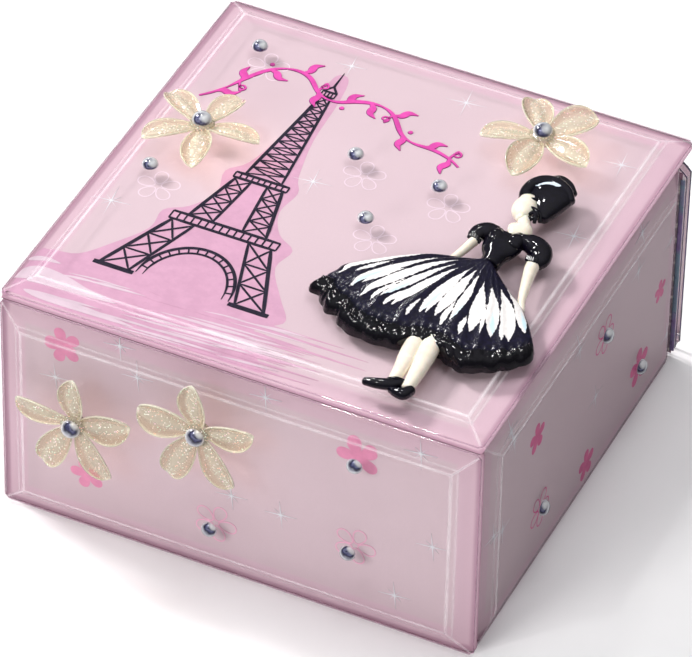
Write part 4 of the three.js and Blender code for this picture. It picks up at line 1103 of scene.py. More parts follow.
def brushed(strokes):
    """distance in mm inside a set of brush strokes that run from the waist to the hem: thin start, full belly, thin end"""
    d = np.full(u2.shape, -9.0)
    for v0, v1, ua, ub, half in strokes:
        t = np.clip((u2 - ua) / (ub - ua), 0.01, 0.99)
        w = half * np.sin(math.pi * t ** 1.5) ** 0.8
        d = np.maximum(d, np.minimum(w - np.abs(v2 - v0 - (v1 - v0) * t) * wid, np.minimum(u2 - ua, ub - u2) * lng))
    return d.reshape(-1)
rs = random.Random(64)
long_, short_, shade = [], [], []
for k in range(12):
    v0 = (k + 0.5) / 12 + rs.uniform(-0.012, 0.012)
    v1 = v0 + rs.uniform(-0.014, 0.014)
    ua, ub, half = rs.uniform(0.10, 0.26), rs.uniform(0.76, 0.86), rs.uniform(1.25, 2.2)
    long_.append((v0, v1, ua, ub, half))
    if k % 2:
        shade.append((v0 + 0.006, v1 + 0.006, ua + 0.30, ub - 0.03, half * 0.42))
for k in range(11):
    v0 = (k + 1) / 12 + rs.uniform(-0.010, 0.010)
    short_.append((v0, v0 + rs.uniform(-0.01, 0.01), rs.uniform(0.42, 0.62), rs.uniform(0.74, 0.86), rs.uniform(0.6, 1.1)))
wd = np.clip(0.5 + brushed(long_ + short_) * 0.45, 0, 1)
bd = np.clip(0.5 + brushed(shade) * 0.40, 0, 1)
hb = (ruf + 0 * v2).reshape(-1)
gn = (NU + 1) * (NV + 1)
fig = Cast(lambda x, y, z: W(x, y, LIDTOP + z))
Vt = [(XY[i, j, 0], XY[i, j, 1], Z[i, j]) for i in range(NU + 1) for j in range(NV + 1)]
Vb = [(XY[i, j, 0], XY[i, j, 1], 0.0) for i in range(NU + 1) for j in range(NV + 1)]
idx = lambda i, j: i * (NV + 1) + j
FF_ = []
for i in range(NU):
    for j in range(NV):
        FF_.append((idx(i, j), idx(i + 1, j), idx(i + 1, j + 1), idx(i, j + 1)))
bord = [idx(i, 0) for i in range(NU + 1)] + [idx(NU, j) for j in range(1, NV + 1)] + [idx(i, NV) for i in range(NU - 1, -1, -1)] + [idx(0, j) for j in range(NV - 1, 0, -1)]
bmap = {b: gn + k for k, b in enumerate(bord)}
Vbot = [(Vb[b][0], Vb[b][1], 0.0) for b in bord]
for k in range(len(bord)):
    a, b = bord[k], bord[(k + 1) % len(bord)]
    FF_.append((b, a, bmap[a], bmap[b]))
FF_.append(tuple(bmap[b] for b in bord))
fig.add(Vt + Vbot, FF_, 2)
attr = [(wd[i], bd[i], hb[i], 1) for i in range(gn)] + [(0, 0, 1, 1)] * len(bord)
def T(spine, mi, **k):
    fig.tube(spine, mi, **k)
# bodice, chest, neck
T([(47.6, -8.4, 2.5, 3.0, 2.8), (47.4, -5.4, 2.5, 3.5, 2.7), (47.2, -2.0, 2.4, 5.1, 2.6), (47.3, 1.4, 2.4, 5.9, 2.7), (47.7, 4.0, 2.4, 5.6, 2.5)], 1, ring=28, cap=0.4)
T([(45.0, 1.4, 3.0, 2.6, 2.3), (44.6, 3.4, 3.0, 2.7, 2.4), (44.4, 4.8, 2.8, 2.1, 2.1)], 1, ring=22, cap=0.8)
T([(50.4, 1.4, 3.0, 2.7, 2.4), (50.6, 3.6, 3.0, 2.9, 2.5), (50.8, 5.4, 2.8, 2.2, 2.1)], 1, ring=22, cap=0.8)
T([(47.4, 4.0, 3.4, 0.5, 1.3), (48.1, 5.6, 3.1, 1.9, 1.9), (49.0, 7.8, 2.9, 3.9, 2.1), (49.8, 9.6, 2.9, 3.4, 2.1), (49.6, 11.2, 2.9, 2.1, 2.0), (48.6, 13.2, 3.0, 1.9, 1.9), (47.9, 15.0, 3.0, 1.9, 1.9)], 0, ring=24, cap=0.5)
# head, plain and turned away
T([(47.6, 13.4, 3.1, 1.6, 2.1), (47.2, 15.2, 3.2, 3.2, 2.8), (46.8, 18.0, 3.2, 3.9, 3.1), (46.6, 20.8, 3.2, 3.3, 2.9)], 0, ring=28, cap=0.9)
# sleeves with puckered cuffs
T([(43.6, 5.5, 2.5, 2.0, 2.2), (41.2, 4.9, 2.6, 2.9, 2.5), (39.2, 3.4, 2.5, 2.9, 2.4), (38.4, 1.4, 2.3, 2.4, 2.1)], 1, ring=24, cap=0.7)
T([(52.0, 4.9, 2.8, 2.4, 2.3), (55.2, 4.7, 2.9, 3.4, 2.6), (58.2, 3.2, 2.8, 3.6, 2.6), (59.4, 0.4, 2.6, 3.4, 2.5), (58.9, -1.6, 2.3, 2.9, 2.2)], 1, ring=26, cap=0.6)
for k in range(9):
    a = k / 8
    T([(56.2 + 5.2 * a, -0.6 - 1.8 * math.sin(math.pi * a) + 0.8 * a, 2.9 + 1.3 * math.sin(math.pi * a), 0.75, 0.7), (56.3 + 5.2 * a, -1.7 - 1.8 * math.sin(math.pi * a) + 0.8 * a, 2.6 + 1.2 * math.sin(math.pi * a), 0.7, 0.65)], 1, ring=12, cap=0.9)
for k in range(6):
    a = k / 5
    T([(37.0 + 3.6 * a, 1.0 - 0.9 * a, 2.7 + 1.1 * math.sin(math.pi * a), 0.6, 0.55), (37.0 + 3.6 * a, 0.2 - 0.9 * a, 2.5 + 1.0 * math.sin(math.pi * a), 0.55, 0.5)], 1, ring=12, cap=0.9)
# arms and legs
T([(58.6, -0.4, 2.2, 2.2, 2.0), (58.9, -4.6, 2.2, 2.05, 1.9), (59.9, -9.6, 2.0, 1.75, 1.7), (61.0, -14.4, 1.8, 1.45, 1.45), (62.0, -18.2, 1.6, 1.2, 1.2), (63.6, -21.6, 1.3, 0.9, 0.9)], 0, ring=22, cap=0.6)
T([(39.4, 1.4, 2.1, 1.6, 1.6), (38.6, -2.4, 2.1, 1.45, 1.5), (37.6, -6.4, 1.9, 1.3, 1.3), (36.0, -11.0, 1.6, 1.1, 1.1)], 0, ring=20, cap=0.6)
T([(42.4, -45.0, 2.1, 2.9, 2.1), (42.9, -54.0, 2.1, 2.7, 2.0), (43.5, -60.2, 1.9, 2.2, 1.8), (43.6, -65.6, 1.7, 1.7, 1.6)], 0, ring=24, cap=0.5)
T([(46.8, -44.6, 2.3, 3.1, 2.2), (47.8, -53.2, 2.3, 2.9, 2.2), (48.4, -60.2, 2.1, 2.4, 2.0), (48.6, -66.6, 1.8, 1.8, 1.7)], 0, ring=24, cap=0.5)
# shoes with a small heel
T([(46.0, -65.6, 1.6, 1.4, 1.5), (43.6, -67.2, 1.7, 1.8, 1.6), (40.2, -68.3, 1.6, 1.75, 1.5), (36.6, -68.6, 1.2, 1.35, 1.15)], 1, ring=22, cap=0.9)
T([(49.6, -67.2, 1.7, 1.7, 1.6), (48.6, -69.4, 1.8, 1.9, 1.7), (46.4, -69.4, 1.6, 1.6, 1.5), (44.6, -68.8, 1.2, 1.1, 1.1)], 1, ring=22, cap=0.9)
T([(46.6, -64.6, 2.2, 0.5, 0.5), (44.6, -65.6, 3.2, 0.5, 0.45), (42.4, -66.0, 2.4, 0.5, 0.5)], 1, ring=10, cap=0.9)
# swept up hair: crown, coiled front roll, nape curls
nb0 = len(fig.v)
T([(52.6, 17.6, 2.0, 2.0, 1.8), (52.2, 20.6, 2.6, 4.2, 2.8), (51.3, 25.0, 2.9, 6.6, 3.2), (50.8, 29.4, 2.8, 6.5, 3.1), (50.8, 33.0, 2.5, 4.1, 2.4)], 1, ring=40, cap=0.5)
T([(45.2, 21.0, 3.3, 1.6, 1.9), (44.2, 24.4, 3.6, 1.9, 2.1), (44.9, 28.2, 3.9, 2.0, 2.2), (47.6, 30.8, 4.2, 2.0, 2.2), (51.4, 31.2, 4.3, 2.0, 2.1), (54.8, 29.8, 3.8, 1.9, 1.9), (57.0, 27.4, 3.0, 1.6, 1.6)], 1, ring=26, cap=0.8)
T([(48.6, 33.6, 3.4, 1.0, 1.2), (51.2, 34.2, 3.8, 1.3, 1.4), (54.2, 33.4, 3.4, 1.2, 1.3), (56.6, 31.2, 2.8, 1.0, 1.1)], 1, ring=18, cap=0.9)
T([(50.0, 31.6, 5.2, 0.6, 0.6), (50.9, 32.4, 5.5, 0.9, 0.9), (51.7, 31.4, 5.6, 0.6, 0.6)], 1, ring=14, cap=0.9)
for q in ([(46.3, 21.9, 5.4), (47.7, 20.6, 5.9), (48.9, 21.4, 5.8), (48.3, 22.6, 5.8)], [(47.9, 16.2, 5.2), (49.0, 17.2, 5.6), (50.6, 17.1, 5.4), (51.6, 16.0, 4.6)],
          [(49.4, 15.2, 5.0), (50.2, 16.2, 5.2), (51.2, 15.4, 4.8), (51.6, 14.0, 3.6)], [(50.4, 17.8, 4.6), (52.0, 17.2, 4.0), (52.6, 15.6, 3.0)],
          [(44.2, 20.2, 5.0), (44.5, 22.0, 5.2), (45.5, 23.6, 5.3)], [(49.2, 14.2, 4.4), (50.2, 14.0, 4.2), (50.8, 15.0, 4.4)]):
    T([(a, b, c - 0.5, 0.62, 0.6) for a, b, c in q], 1, ring=12, cap=0.9)
nb1 = len(fig.v)
full = np.zeros((len(fig.v), 4), dtype=np.float32)
full[:, 3] = 1
full[:len(attr)] = np.array(attr)
hp = np.array([v for v in fig.v[nb0:nb1]])
hd = sdf(hp[:, :2], catmull(HAIRW, 4, True))
hd = np.where(hp[:, 2] > 3.6, hd, -1)
full[nb0:nb1, 0] = np.clip(0.5 + hd * 0.4, 0, 1)
fig.build("relief_lady", [SKIN, BLACK, SKIRTM], "lid", "figure_enamel", ("lid_figure",), full)

# ------------------------------------------------------------------ dark strip under the lid's rim as painted shadow in the gap, tape and dark strips at the rear seams
def bar(name, x0, x1, y0, y1, z0, z1, mat, body, slot, wob=0.0, nseg=40, axis=0):
    """slim strip along an axis with softened long edges and a little waviness"""
    lo, hi = np.array([x0, y0, z0], float), np.array([x1, y1, z1], float)
    a1, a2 = [i for i in range(3) if i != axis]
    V, F = [], []
    rr = random.Random(int(abs(x0 * 7 + y0 * 3)))
    h1, h2 = (hi[a1] - lo[a1]) / 2, (hi[a2] - lo[a2]) / 2
    c1, c2 = (hi[a1] + lo[a1]) / 2, (hi[a2] + lo[a2]) / 2
    e = min(h1, h2) * 0.45
    sec = [(-h1 + e, -h2), (h1 - e, -h2), (h1, -h2 + e), (h1, h2 - e), (h1 - e, h2), (-h1 + e, h2), (-h1, h2 - e), (-h1, -h2 + e)]
    for i in range(nseg + 1):
        t = i / nseg
        w1, w2 = rr.uniform(-wob, wob), rr.uniform(-wob, wob)
        for p1, p2 in sec:
            q = [0, 0, 0]
            q[axis] = lo[axis] + (hi[axis] - lo[axis]) * t
            q[a1], q[a2] = c1 + p1 + w1, c2 + p2 + w2
            V.append(W(*q))
    for i in range(nseg):
        for k in range(8):
            j = (k + 1) % 8
            F.append((i * 8 + k, i * 8 + j, (i + 1) * 8 + j, (i + 1) * 8 + k))
    F.append(tuple(range(8)))
    F.append(tuple(nseg * 8 + k for k in reversed(range(8))))
    ob = new_obj(name, V, F, mat, body, True)
    fix_normals(ob)
    return ob
# painted shadow: a near-black strip put into the gap under the lid's rim, where there is only shade
GAP_SHADE_MAT = make_ink("gap_shadow_strip", lin(34, 20, 28), 0.8, 0.05)
gz0, gz1 = fg1[2] + 0.06, FILM_T - IN - 0.05
bar("closing_strip_front", -75.2, 75.2, -75.6, -73.9, gz0 + 0.45 * (gz1 - gz0), gz1, GAP_SHADE_MAT, "case", "printed_sheet")
bar("closing_strip_right", 72.9, 74.7, -73.2, 67.6, gz0, gz1, GAP_SHADE_MAT, "case", "printed_sheet", axis=1)
bar("closing_strip_left", -74.7, -72.9, -73.2, 67.6, gz0, gz1, GAP_SHADE_MAT, "case", "printed_sheet", axis=1)
def make_tape():
    M = Mat("seam_tape")
    n1 = M.noise(900, 3, 0.6)
    vo = M.n("ShaderNodeTexVoronoi", feature="F1"); vo.inputs["Scale"].default_value = 620
    M.l(M.coords(), vo.inputs["Vector"])
    r = M.ramp(vo.outputs["Distance"], [(0.1, lin(250, 248, 240)), (0.3, lin(206, 200, 196)), (0.5, lin(150, 140, 146))])
    M.bsdf(r.outputs["Color"], M.maprange(n1.outputs["Fac"], 0.3, 0.7, 0.25, 0.5), 0.35)
    M.bump(n1.outputs["Fac"], 0.5, 0.0003)
    return M.end()
TAPE = make_tape()
# purple and teal strips just behind the rear pane's side rims, darker than the print beside them
def make_rim_strip():
    M = Mat("rear_rim_strip")
    n1 = M.noise(60, 3, 0.6)
    n2 = M.noise(700, 2, 0.5)
    r = M.ramp(n1.outputs["Fac"], [(0.30, lin(112, 98, 140)), (0.45, lin(150, 132, 180)), (0.58, lin(128, 156, 172)), (0.72, lin(160, 146, 190))])
    M.bsdf(r.outputs["Color"], M.maprange(n2.outputs["Fac"], 0.3, 0.7, 0.25, 0.45), 0.3)
    M.bump(n2.outputs["Fac"], 0.2, 0.0002)
    return M.end()
RIM_STRIP_MAT = make_rim_strip()
for sd in (-1, 1):
    nm = "right" if sd > 0 else "left"
    bar("rim_tape_" + nm, *sorted((73.3 * sd, 74.5 * sd)), 70.55, 71.1, 1.8, 69.6, TAPE, "case", "carcass_board", 0.04, 70, 2)
    bar("rim_strip_" + nm, *sorted((74.6 * sd, 75.95 * sd)), 70.5, 71.1, 2.6, 69.4, RIM_STRIP_MAT, "case", "carcass_board", 0.03, 50, 2)
for sd in (-1, 1):
    bar("seam_tape_" + ("right" if sd > 0 else "left"), *sorted((72.3 * sd, 73.3 * sd)), 68.1, 70.6, 1.8, 71.6, TAPE, "case", "carcass_board", 0.10, 60, 2)

# ------------------------------------------------------------------ inside: linings, velvet, mirror, movement
def make_cloth_mat(name, c1, c2, scale=2400, rough=0.85, sheen=0.5, bump=0.35, depth=0.00025):
    M = Mat(name)
    n1 = M.noise(scale, 3, 0.6)
    n2 = M.noise(60, 3, 0.5)
    ad = M.n("ShaderNodeMath", operation="MULTIPLY_ADD"); M.l(n2.outputs["Fac"], ad.inputs[0]); ad.inputs[1].default_value = 0.6; M.l(n1.outputs["Fac"], ad.inputs[2])
    r = M.ramp(M.maprange(ad.outputs[0], 0.55, 1.05, 0, 1), [(0.2, c1), (0.8, c2)])
    M.bsdf(r.outputs["Color"], rough, Sheen_Weight=sheen, Sheen_Roughness=0.4, Specular_IOR_Level=0.2)
    M.bump(n1.outputs["Fac"], bump, depth)
    return M.end()
def make_metal(name, c1, c2, rough=0.28, scale=300, stretch=(1, 1, 1)):
    M = Mat(name)
    mp = M.n("ShaderNodeMapping"); M.l(M.coords(), mp.inputs["Vector"]); mp.inputs["Scale"].default_value = stretch
    n1 = M.noise(scale, 4, 0.6, vec=mp.outputs["Vector"])
    r = M.ramp(n1.outputs["Fac"], [(0.3, c1), (0.7, c2)])
    M.bsdf(r.outputs["Color"], M.maprange(n1.outputs["Fac"], 0.3, 0.7, rough - 0.08, rough + 0.1), 1.0)
    M.bump(n1.outputs["Fac"], 0.12, 0.0001)
    return M.end()
def make_plastic(name, c1, c2, rough=0.35, sub=0.1):
    M = Mat(name)
    n1 = M.noise(500, 3, 0.55)
    r = M.ramp(n1.outputs["Fac"], [(0.3, c1), (0.7, c2)])
    M.bsdf(r.outputs["Color"], M.maprange(n1.outputs["Fac"], 0.3, 0.7, rough - 0.07, rough + 0.1))
    M.b.inputs["Subsurface Weight"].default_value = sub
    M.b.inputs["Subsurface Scale"].default_value = 0.0008
    M.bump(n1.outputs["Fac"], 0.08, 0.0001)
    return M.end()
def make_board():
    M = Mat("fibre_board")
    n1 = M.noise(900, 5, 0.7)
    n2 = M.noise(90, 3, 0.6)
    ad = M.n("ShaderNodeMath", operation="MULTIPLY_ADD"); M.l(n2.outputs["Fac"], ad.inputs[0]); ad.inputs[1].default_value = 0.5; M.l(n1.outputs["Fac"], ad.inputs[2])
    r = M.ramp(M.maprange(ad.outputs[0], 0.5, 1.0, 0, 1), [(0.2, lin(146, 112, 78)), (0.6, lin(170, 134, 96)), (0.9, lin(190, 156, 116))])
    M.bsdf(r.outputs["Color"], 0.82, Specular_IOR_Level=0.2)
    M.bump(n1.outputs["Fac"], 0.3, 0.0002)
    return M.end()
def make_lining():
    M = Mat("lining_paper")
    n1 = M.noise(1800, 3, 0.6)
    vo = M.n("ShaderNodeTexVoronoi", feature="F1"); vo.inputs["Scale"].default_value = 130
    M.l(M.coords(), vo.inputs["Vector"])
    dots = M.maprange(vo.outputs["Distance"], 0.10, 0.16, 1.0, 0.0)
    base = M.ramp(n1.outputs["Fac"], [(0.3, lin(226, 186, 204)), (0.7, lin(236, 200, 216))])
    mix = M.n("ShaderNodeMix", data_type="RGBA"); M.l(dots, mix.inputs[0]); M.l(base.outputs["Color"], mix.inputs[6]); mix.inputs[7].default_value = (*lin(244, 226, 234), 1)
    M.bsdf(mix.outputs[2], 0.6, Specular_IOR_Level=0.3)
    M.bump(n1.outputs["Fac"], 0.15, 0.0001)
    return M.end()
def make_mirror():
    M = Mat("silvered_mirror")
    n1 = M.noise(40, 2, 0.5)
    r = M.ramp(n1.outputs["Fac"], [(0.3, (0.86, 0.87, 0.88)), (0.7, (0.90, 0.91, 0.92))])
    M.bsdf(r.outputs["Color"], M.maprange(n1.outputs["Fac"], 0.3, 0.7, 0.01, 0.035), 1.0, Coat_Weight=0.6, Coat_Roughness=0.0)
    return M.end()
VELVET = make_cloth_mat("pink_velvet", lin(196, 112, 148), lin(222, 146, 178))
FLOCK = make_cloth_mat("pink_flock", lin(206, 128, 160), lin(226, 154, 184), 3000, 0.92, 0.35, 0.4, 0.0002)
FELT = make_cloth_mat("rose_felt", lin(120, 60, 84), lin(150, 84, 108), 1600, 0.95, 0.3, 0.6, 0.0004)
BRASS = make_metal("brass", lin(190, 150, 82), lin(220, 184, 116), 0.28, 260, (1, 1, 6))
BRASS_D = make_metal("plated_brass", lin(176, 140, 80), lin(206, 172, 110), 0.34, 420)
STEEL = make_metal("steel", lin(150, 152, 156), lin(196, 198, 202), 0.26, 300, (1, 8, 1))
SPRING = make_metal("blued_spring", lin(88, 94, 112), lin(140, 146, 160), 0.3, 500)
NYLON = make_plastic("white_nylon", lin(226, 224, 216), lin(240, 238, 232), 0.4, 0.2)
PLASTIC = make_plastic("turntable_plastic", lin(238, 206, 216), lin(246, 220, 228), 0.3, 0.15)
BOARD, LINING, MIRROR = make_board(), make_lining(), make_mirror()
def paint(mat, *nodes):
    for n in nodes:
        me = N[n].data
        me.materials.clear()
        me.materials.append(mat)
        for p in me.polygons:
            p.material_index = 0
paint(LINING, "front_wall", "rear_wall", "left_wall", "right_wall", "lid_board")
paint(BOARD, "base_board")
paint(FELT, "base_felt")
paint(FLOCK, "deck_tray")
paint(MIRROR, "lid_mirror")
paint(BRASS_D, "hinge_left_body_leaf", "hinge_right_body_leaf", "hinge_left_lid_leaf", "hinge_right_lid_leaf")
paint(STEEL, "hinge_left_pin", "hinge_right_pin", "music_comb", "governor_fly", "stop_rod")
paint(SPRING, "mainspring")
paint(BRASS, "music_bedplate", "spring_barrel", "music_drum", "winding_key")
paint(NYLON, "dancer_gear")
paint(PLASTIC, "dancer_turntable")

# ring cushion: three velvet rolls, filled out as cloth under pressure, stitched down in the valleys
rc0, rc1 = bx("ring_cushion")
def ring_cushion():
    S_ = 10.0
    y0, y1, z0, z1 = rc0[1], rc1[1], rc0[2], rc1[2]
    pitch = (y1 - y0) / 3
    zb = z1 - 7.6
    prof = [(y0 + 0.5, z0 + 0.2)]
    prof += [(y0 + 0.5, zb)]
    for k in range(3):
        cy_ = y0 + pitch * (k + 0.5)
        for i in range(1, 12):
            a = math.pi - math.pi * i / 12
            prof.append((cy_ + (pitch / 2 - 0.5) * math.cos(a), zb + 6.4 * math.sin(a)))
        if k < 2:
            prof.append((y0 + pitch * (k + 1), zb - 0.8))
    prof += [(y1 - 0.5, zb), (y1 - 0.5, z0 + 0.2)]
    nx = 60
    V, F = [], []
    x0, x1 = rc0[0] + 1.0, rc1[0] - 1.0
    zc = (z0 + z1) / 2
    for i in range(nx + 1):
        s = i / nx
        x = x0 + (x1 - x0) * s
        e = min(1.0, min(s, 1 - s) * nx / 3.0)
        sh = 0.72 + 0.28 * math.sqrt(max(0.0, 1 - (1 - e) ** 2))
        for y, z in prof:
            V.append((x * MM * S_, y * MM * S_, (z0 + (z - z0) * sh) * MM * S_))
    m = len(prof)
    for i in range(nx):
        for k in range(m):
            j = (k + 1) % m
            F.append((i * m + k, i * m + j, (i + 1) * m + j, (i + 1) * m + k))
    F.append(tuple(range(m)))
    F.append(tuple(nx * m + k for k in reversed(range(m))))
    ob = new_obj("ring_cushion_velvet", V, F, VELVET, None)
    fix_normals(ob)
    for o in bpy.context.selected_objects:
        o.select_set(False)
    bpy.context.view_layer.objects.active = ob
    ob.select_set(True)
    rm = ob.modifiers.new("vox", "REMESH"); rm.mode = "VOXEL"; rm.voxel_size = 0.0125
    bpy.ops.object.modifier_apply(modifier="vox")
    start = np.array([v.co[:] for v in ob.data.vertices])
    vg = ob.vertex_groups.new(name="pin")
    yv = start[:, 1] / (MM * S_)
    zv = start[:, 2] / (MM * S_)
    for i in range(len(start)):
        valley = min(abs(yv[i] - (y0 + pitch)), abs(yv[i] - (y0 + 2 * pitch))) < 0.9 and zv[i] < zb + 1.6
        if zv[i] < z0 + 1.6 or valley:
            vg.add([i], 1.0, "REPLACE")
    cl = ob.modifiers.new("cloth", "CLOTH")
    st = cl.settings
    st.quality = 6
    st.mass = 0.25
    st.tension_stiffness = 12
    st.compression_stiffness = 12
    st.shear_stiffness = 6
    st.bending_stiffness = 0.6
    st.use_pressure = True
    st.uniform_pressure_force = 3.0
    st.vertex_group_mass = "pin"
    st.effector_weights.gravity = 0
    cl.collision_settings.use_collision = False
    cl.point_cache.frame_start, cl.point_cache.frame_end = 1, 16
    for f in range(1, 17):
        bpy.context.scene.frame_set(f)
    dg = bpy.context.evaluated_depsgraph_get()
    ev = ob.evaluated_get(dg)
    sim = np.array([v.co[:] for v in ev.to_mesh().vertices])
    ev.to_mesh_clear()
    ob.modifiers.remove(cl)
    bpy.context.scene.frame_set(1)
    d = sim - start
    ln = np.linalg.norm(d, axis=1, keepdims=True)
    start = start + d * np.minimum(1.0, 0.010 / np.maximum(ln, 1e-9))
    lo = np.array([rc0[0] + 0.1, rc0[1] + 0.1, rc0[2] + 0.05]) * MM * S_
    hi = np.array([rc1[0] - 0.1, rc1[1] - 0.1, rc1[2] + 0.6]) * MM * S_
    start = np.clip(start, lo, hi)
    # a wrinkle or two where the nap is pulled down at the ends
    for i, p in enumerate(start):
        w_ = mnoise.noise((p[0] * 9, p[1] * 26, p[2] * 22)) * 0.0022
        start[i, 2] += w_ * (1 if p[2] > zb * MM * S_ else 0)
    for v, p in zip(ob.data.vertices, start):
        v.co = Vector(p) / S_
    sb = ob.modifiers.new("sub", "SUBSURF"); sb.levels = 1; sb.render_levels = 1
    bpy.ops.object.modifier_apply(modifier="sub")
    ob.select_set(False)
    for p in ob.data.polygons:
        p.use_smooth = True
    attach(ob, "case")
    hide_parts("ring_cushion")
    return ob
ring_cushion()

# the little dancer, folded flat under the closed lid
PIV = np.array([0.0, 20.0, 57.5])
D = lambda a, b, c: W(a, PIV[1] - b, PIV[2] + c)
DSKIN = make_plastic("dancer_skin", lin(240, 214, 196), lin(248, 226, 210), 0.35, 0.15)
DSATIN = make_plastic("dancer_satin", lin(244, 196, 214), lin(250, 212, 226), 0.28, 0.05)
DHAIR = make_plastic("dancer_hair", lin(70, 44, 30), lin(96, 62, 42), 0.4, 0.0)
def make_tulle():
    M = Mat("dancer_tulle")
    n1 = M.noise(1500, 3, 0.6)
    vo = M.n("ShaderNodeTexVoronoi", feature="DISTANCE_TO_EDGE"); vo.inputs["Scale"].default_value = 1400
    M.l(M.coords(), vo.inputs["Vector"])
    r = M.ramp(n1.outputs["Fac"], [(0.3, lin(246, 226, 236)), (0.7, lin(252, 240, 246))])
    M.bsdf(r.outputs["Color"], 0.6, Sheen_Weight=0.3)
    M.l(M.maprange(vo.outputs["Distance"], 0.05, 0.22, 1.0, 0.55), M.b.inputs["Alpha"])
    return M.end()
TULLE = make_tulle()
dn = Cast(D)
dn.tube([(-2.9, 0, 0, 1.85, 1.85), (0, 0, 0, 1.85, 1.85), (2.9, 0, 0, 1.85, 1.85)], 0, ring=24, cap=0.08)
dn.tube([(0, 0.6, 0, 1.5, 1.2), (0, 2.2, 0, 1.2, 1.0), (0, 3.2, 0, 1.0, 0.9)], 0, ring=20, cap=0.3)
for s in (-1, 1):
    dn.tube([(0.55 * s, 2.2, 0.0, 0.55, 0.55), (0.6 * s, 4.0, 0.0, 0.7, 0.75), (0.75 * s, 7.5, 0.2, 1.05, 1.1), (0.85 * s, 9.8, 0.0, 0.85, 0.9), (1.05 * s, 13.5, 0.0, 1.25, 1.25), (1.1 * s, 17.0, 0.0, 1.35, 1.35)], 0, ring=18, cap=0.6)
    dn.tube([(0.52 * s, 2.0, -0.1, 0.62, 0.62), (0.58 * s, 3.3, -0.1, 0.78, 0.85), (0.62 * s, 4.3, 0.0, 0.74, 0.8)], 1, ring=16, cap=0.5)
    dn.tube([(2.4 * s, 26.0, 0.0, 0.85, 0.85), (4.3 * s, 28.0, -0.2, 0.8, 0.8), (5.6 * s, 31.4, -0.6, 0.66, 0.66), (5.3 * s, 35.0, -0.9, 0.6, 0.6), (3.6 * s, 38.0, -1.0, 0.5, 0.5), (1.5 * s, 39.6, -1.0, 0.42, 0.36)], 0, ring=16, cap=0.9)
dn.tube([(0, 16.4, 0, 2.7, 2.3), (0, 18.4, 0, 2.3, 1.9), (0, 20.6, 0, 1.75, 1.5), (0, 23.6, -0.1, 2.35, 1.9), (0, 25.2, 0, 2.6, 1.7)], 1, ring=26, cap=0.4)
dn.tube([(0, 25.0, 0, 2.5, 1.5), (0, 26.5, 0, 2.5, 1.3), (0, 27.4, 0, 1.1, 1.0), (0, 29.6, 0, 0.85, 0.85), (0, 31.0, 0, 0.9, 0.9)], 0, ring=22, cap=0.5)
dn.tube([(0, 30.4, -0.1, 1.35, 1.5), (0, 32.4, -0.1, 2.15, 2.4), (0, 34.2, 0, 1.85, 2.1)], 0, ring=24, cap=0.7)
dn.tube([(0, 31.6, 0.9, 1.7, 1.6), (0, 33.4, 0.7, 2.3, 2.3), (0, 34.8, 0.3, 1.8, 1.9)], 2, ring=24, cap=0.6)
dn.tube([(0, 35.6, 0.9, 1.25, 1.25), (0, 36.6, 1.0, 1.3, 1.3), (0, 37.2, 1.0, 0.9, 0.9)], 2, ring=20, cap=0.6)
dn.build("dancer_ballerina", [DSKIN, DSATIN, DHAIR], "dancer", "dancer_plastic", ("dancer_figure",))
tu = Cast(D)
for layer, (rad, b0, rise, nw, ph, amp) in enumerate(((10.3, 18.0, 1.0, 21, 0.0, 0.55), (9.7, 17.4, 0.2, 19, 1.0, 0.6), (8.8, 16.9, -0.6, 17, 2.1, 0.6))):
    na, nr = 210, 12
    V, F = [], []
    for sgn in (1, -1):
        for i in range(nr + 1):
            r_ = 1.6 + (rad - 1.6) * i / nr
            g = i / nr
            for k in range(na):
                a = 2 * math.pi * k / na
                wv = amp * g ** 1.2 * math.sin(nw * a + ph + 0.5 * math.sin(3 * a))
                rr_ = r_ * (1 + 0.018 * math.sin(5 * a + layer) * g)
                V.append((rr_ * math.cos(a), b0 + rise * g + wv + sgn * 0.06, rr_ * math.sin(a)))
    h_ = (nr + 1) * na
    for i in range(nr):
        for k in range(na):
            j = (k + 1) % na
            F.append((i * na + k, i * na + j, (i + 1) * na + j, (i + 1) * na + k))
            F.append((h_ + i * na + k, h_ + (i + 1) * na + k, h_ + (i + 1) * na + j, h_ + i * na + j))
    for k in range(na):
        j = (k + 1) % na
        F.append((k, h_ + k, h_ + j, j))
        F.append((nr * na + k, nr * na + j, h_ + nr * na + j, h_ + nr * na + k))
    tu.add(V, F, 0)
tu.build("dancer_tutu", [TULLE], "dancer", "dancer_plastic")

# ------------------------------------------------------------------ camera, light, floor
cam = bpy.data.cameras.new("camera")
cam.lens = 321.56
cam.sensor_width = 36
cam.clip_start, cam.clip_end = 0.1, 20
cam_ob = bpy.data.objects.new("camera", cam)
bpy.context.scene.collection.objects.link(cam_ob)
R = ((0.9034282967, 0.4284154295, 0.0166593036), (0.2925120823, -0.5875001697, -0.7545066151), (-0.3134549319, 0.6865156738, -0.6560809670))
m = Matrix.Identity(4)
for i in range(3):
    m[i][0], m[i][1], m[i][2] = R[0][i], -R[1][i], -R[2][i]
m.translation = Vector(((648.212 - 76 + CX) * MM, (-1180.044 - 75.83 + CY) * MM, (1236.231 + Z0) * MM))
cam_ob.matrix_world = m
bpy.context.scene.camera = cam_ob
cam.shift_y = (328.5 - 327.79) / 692 * -1

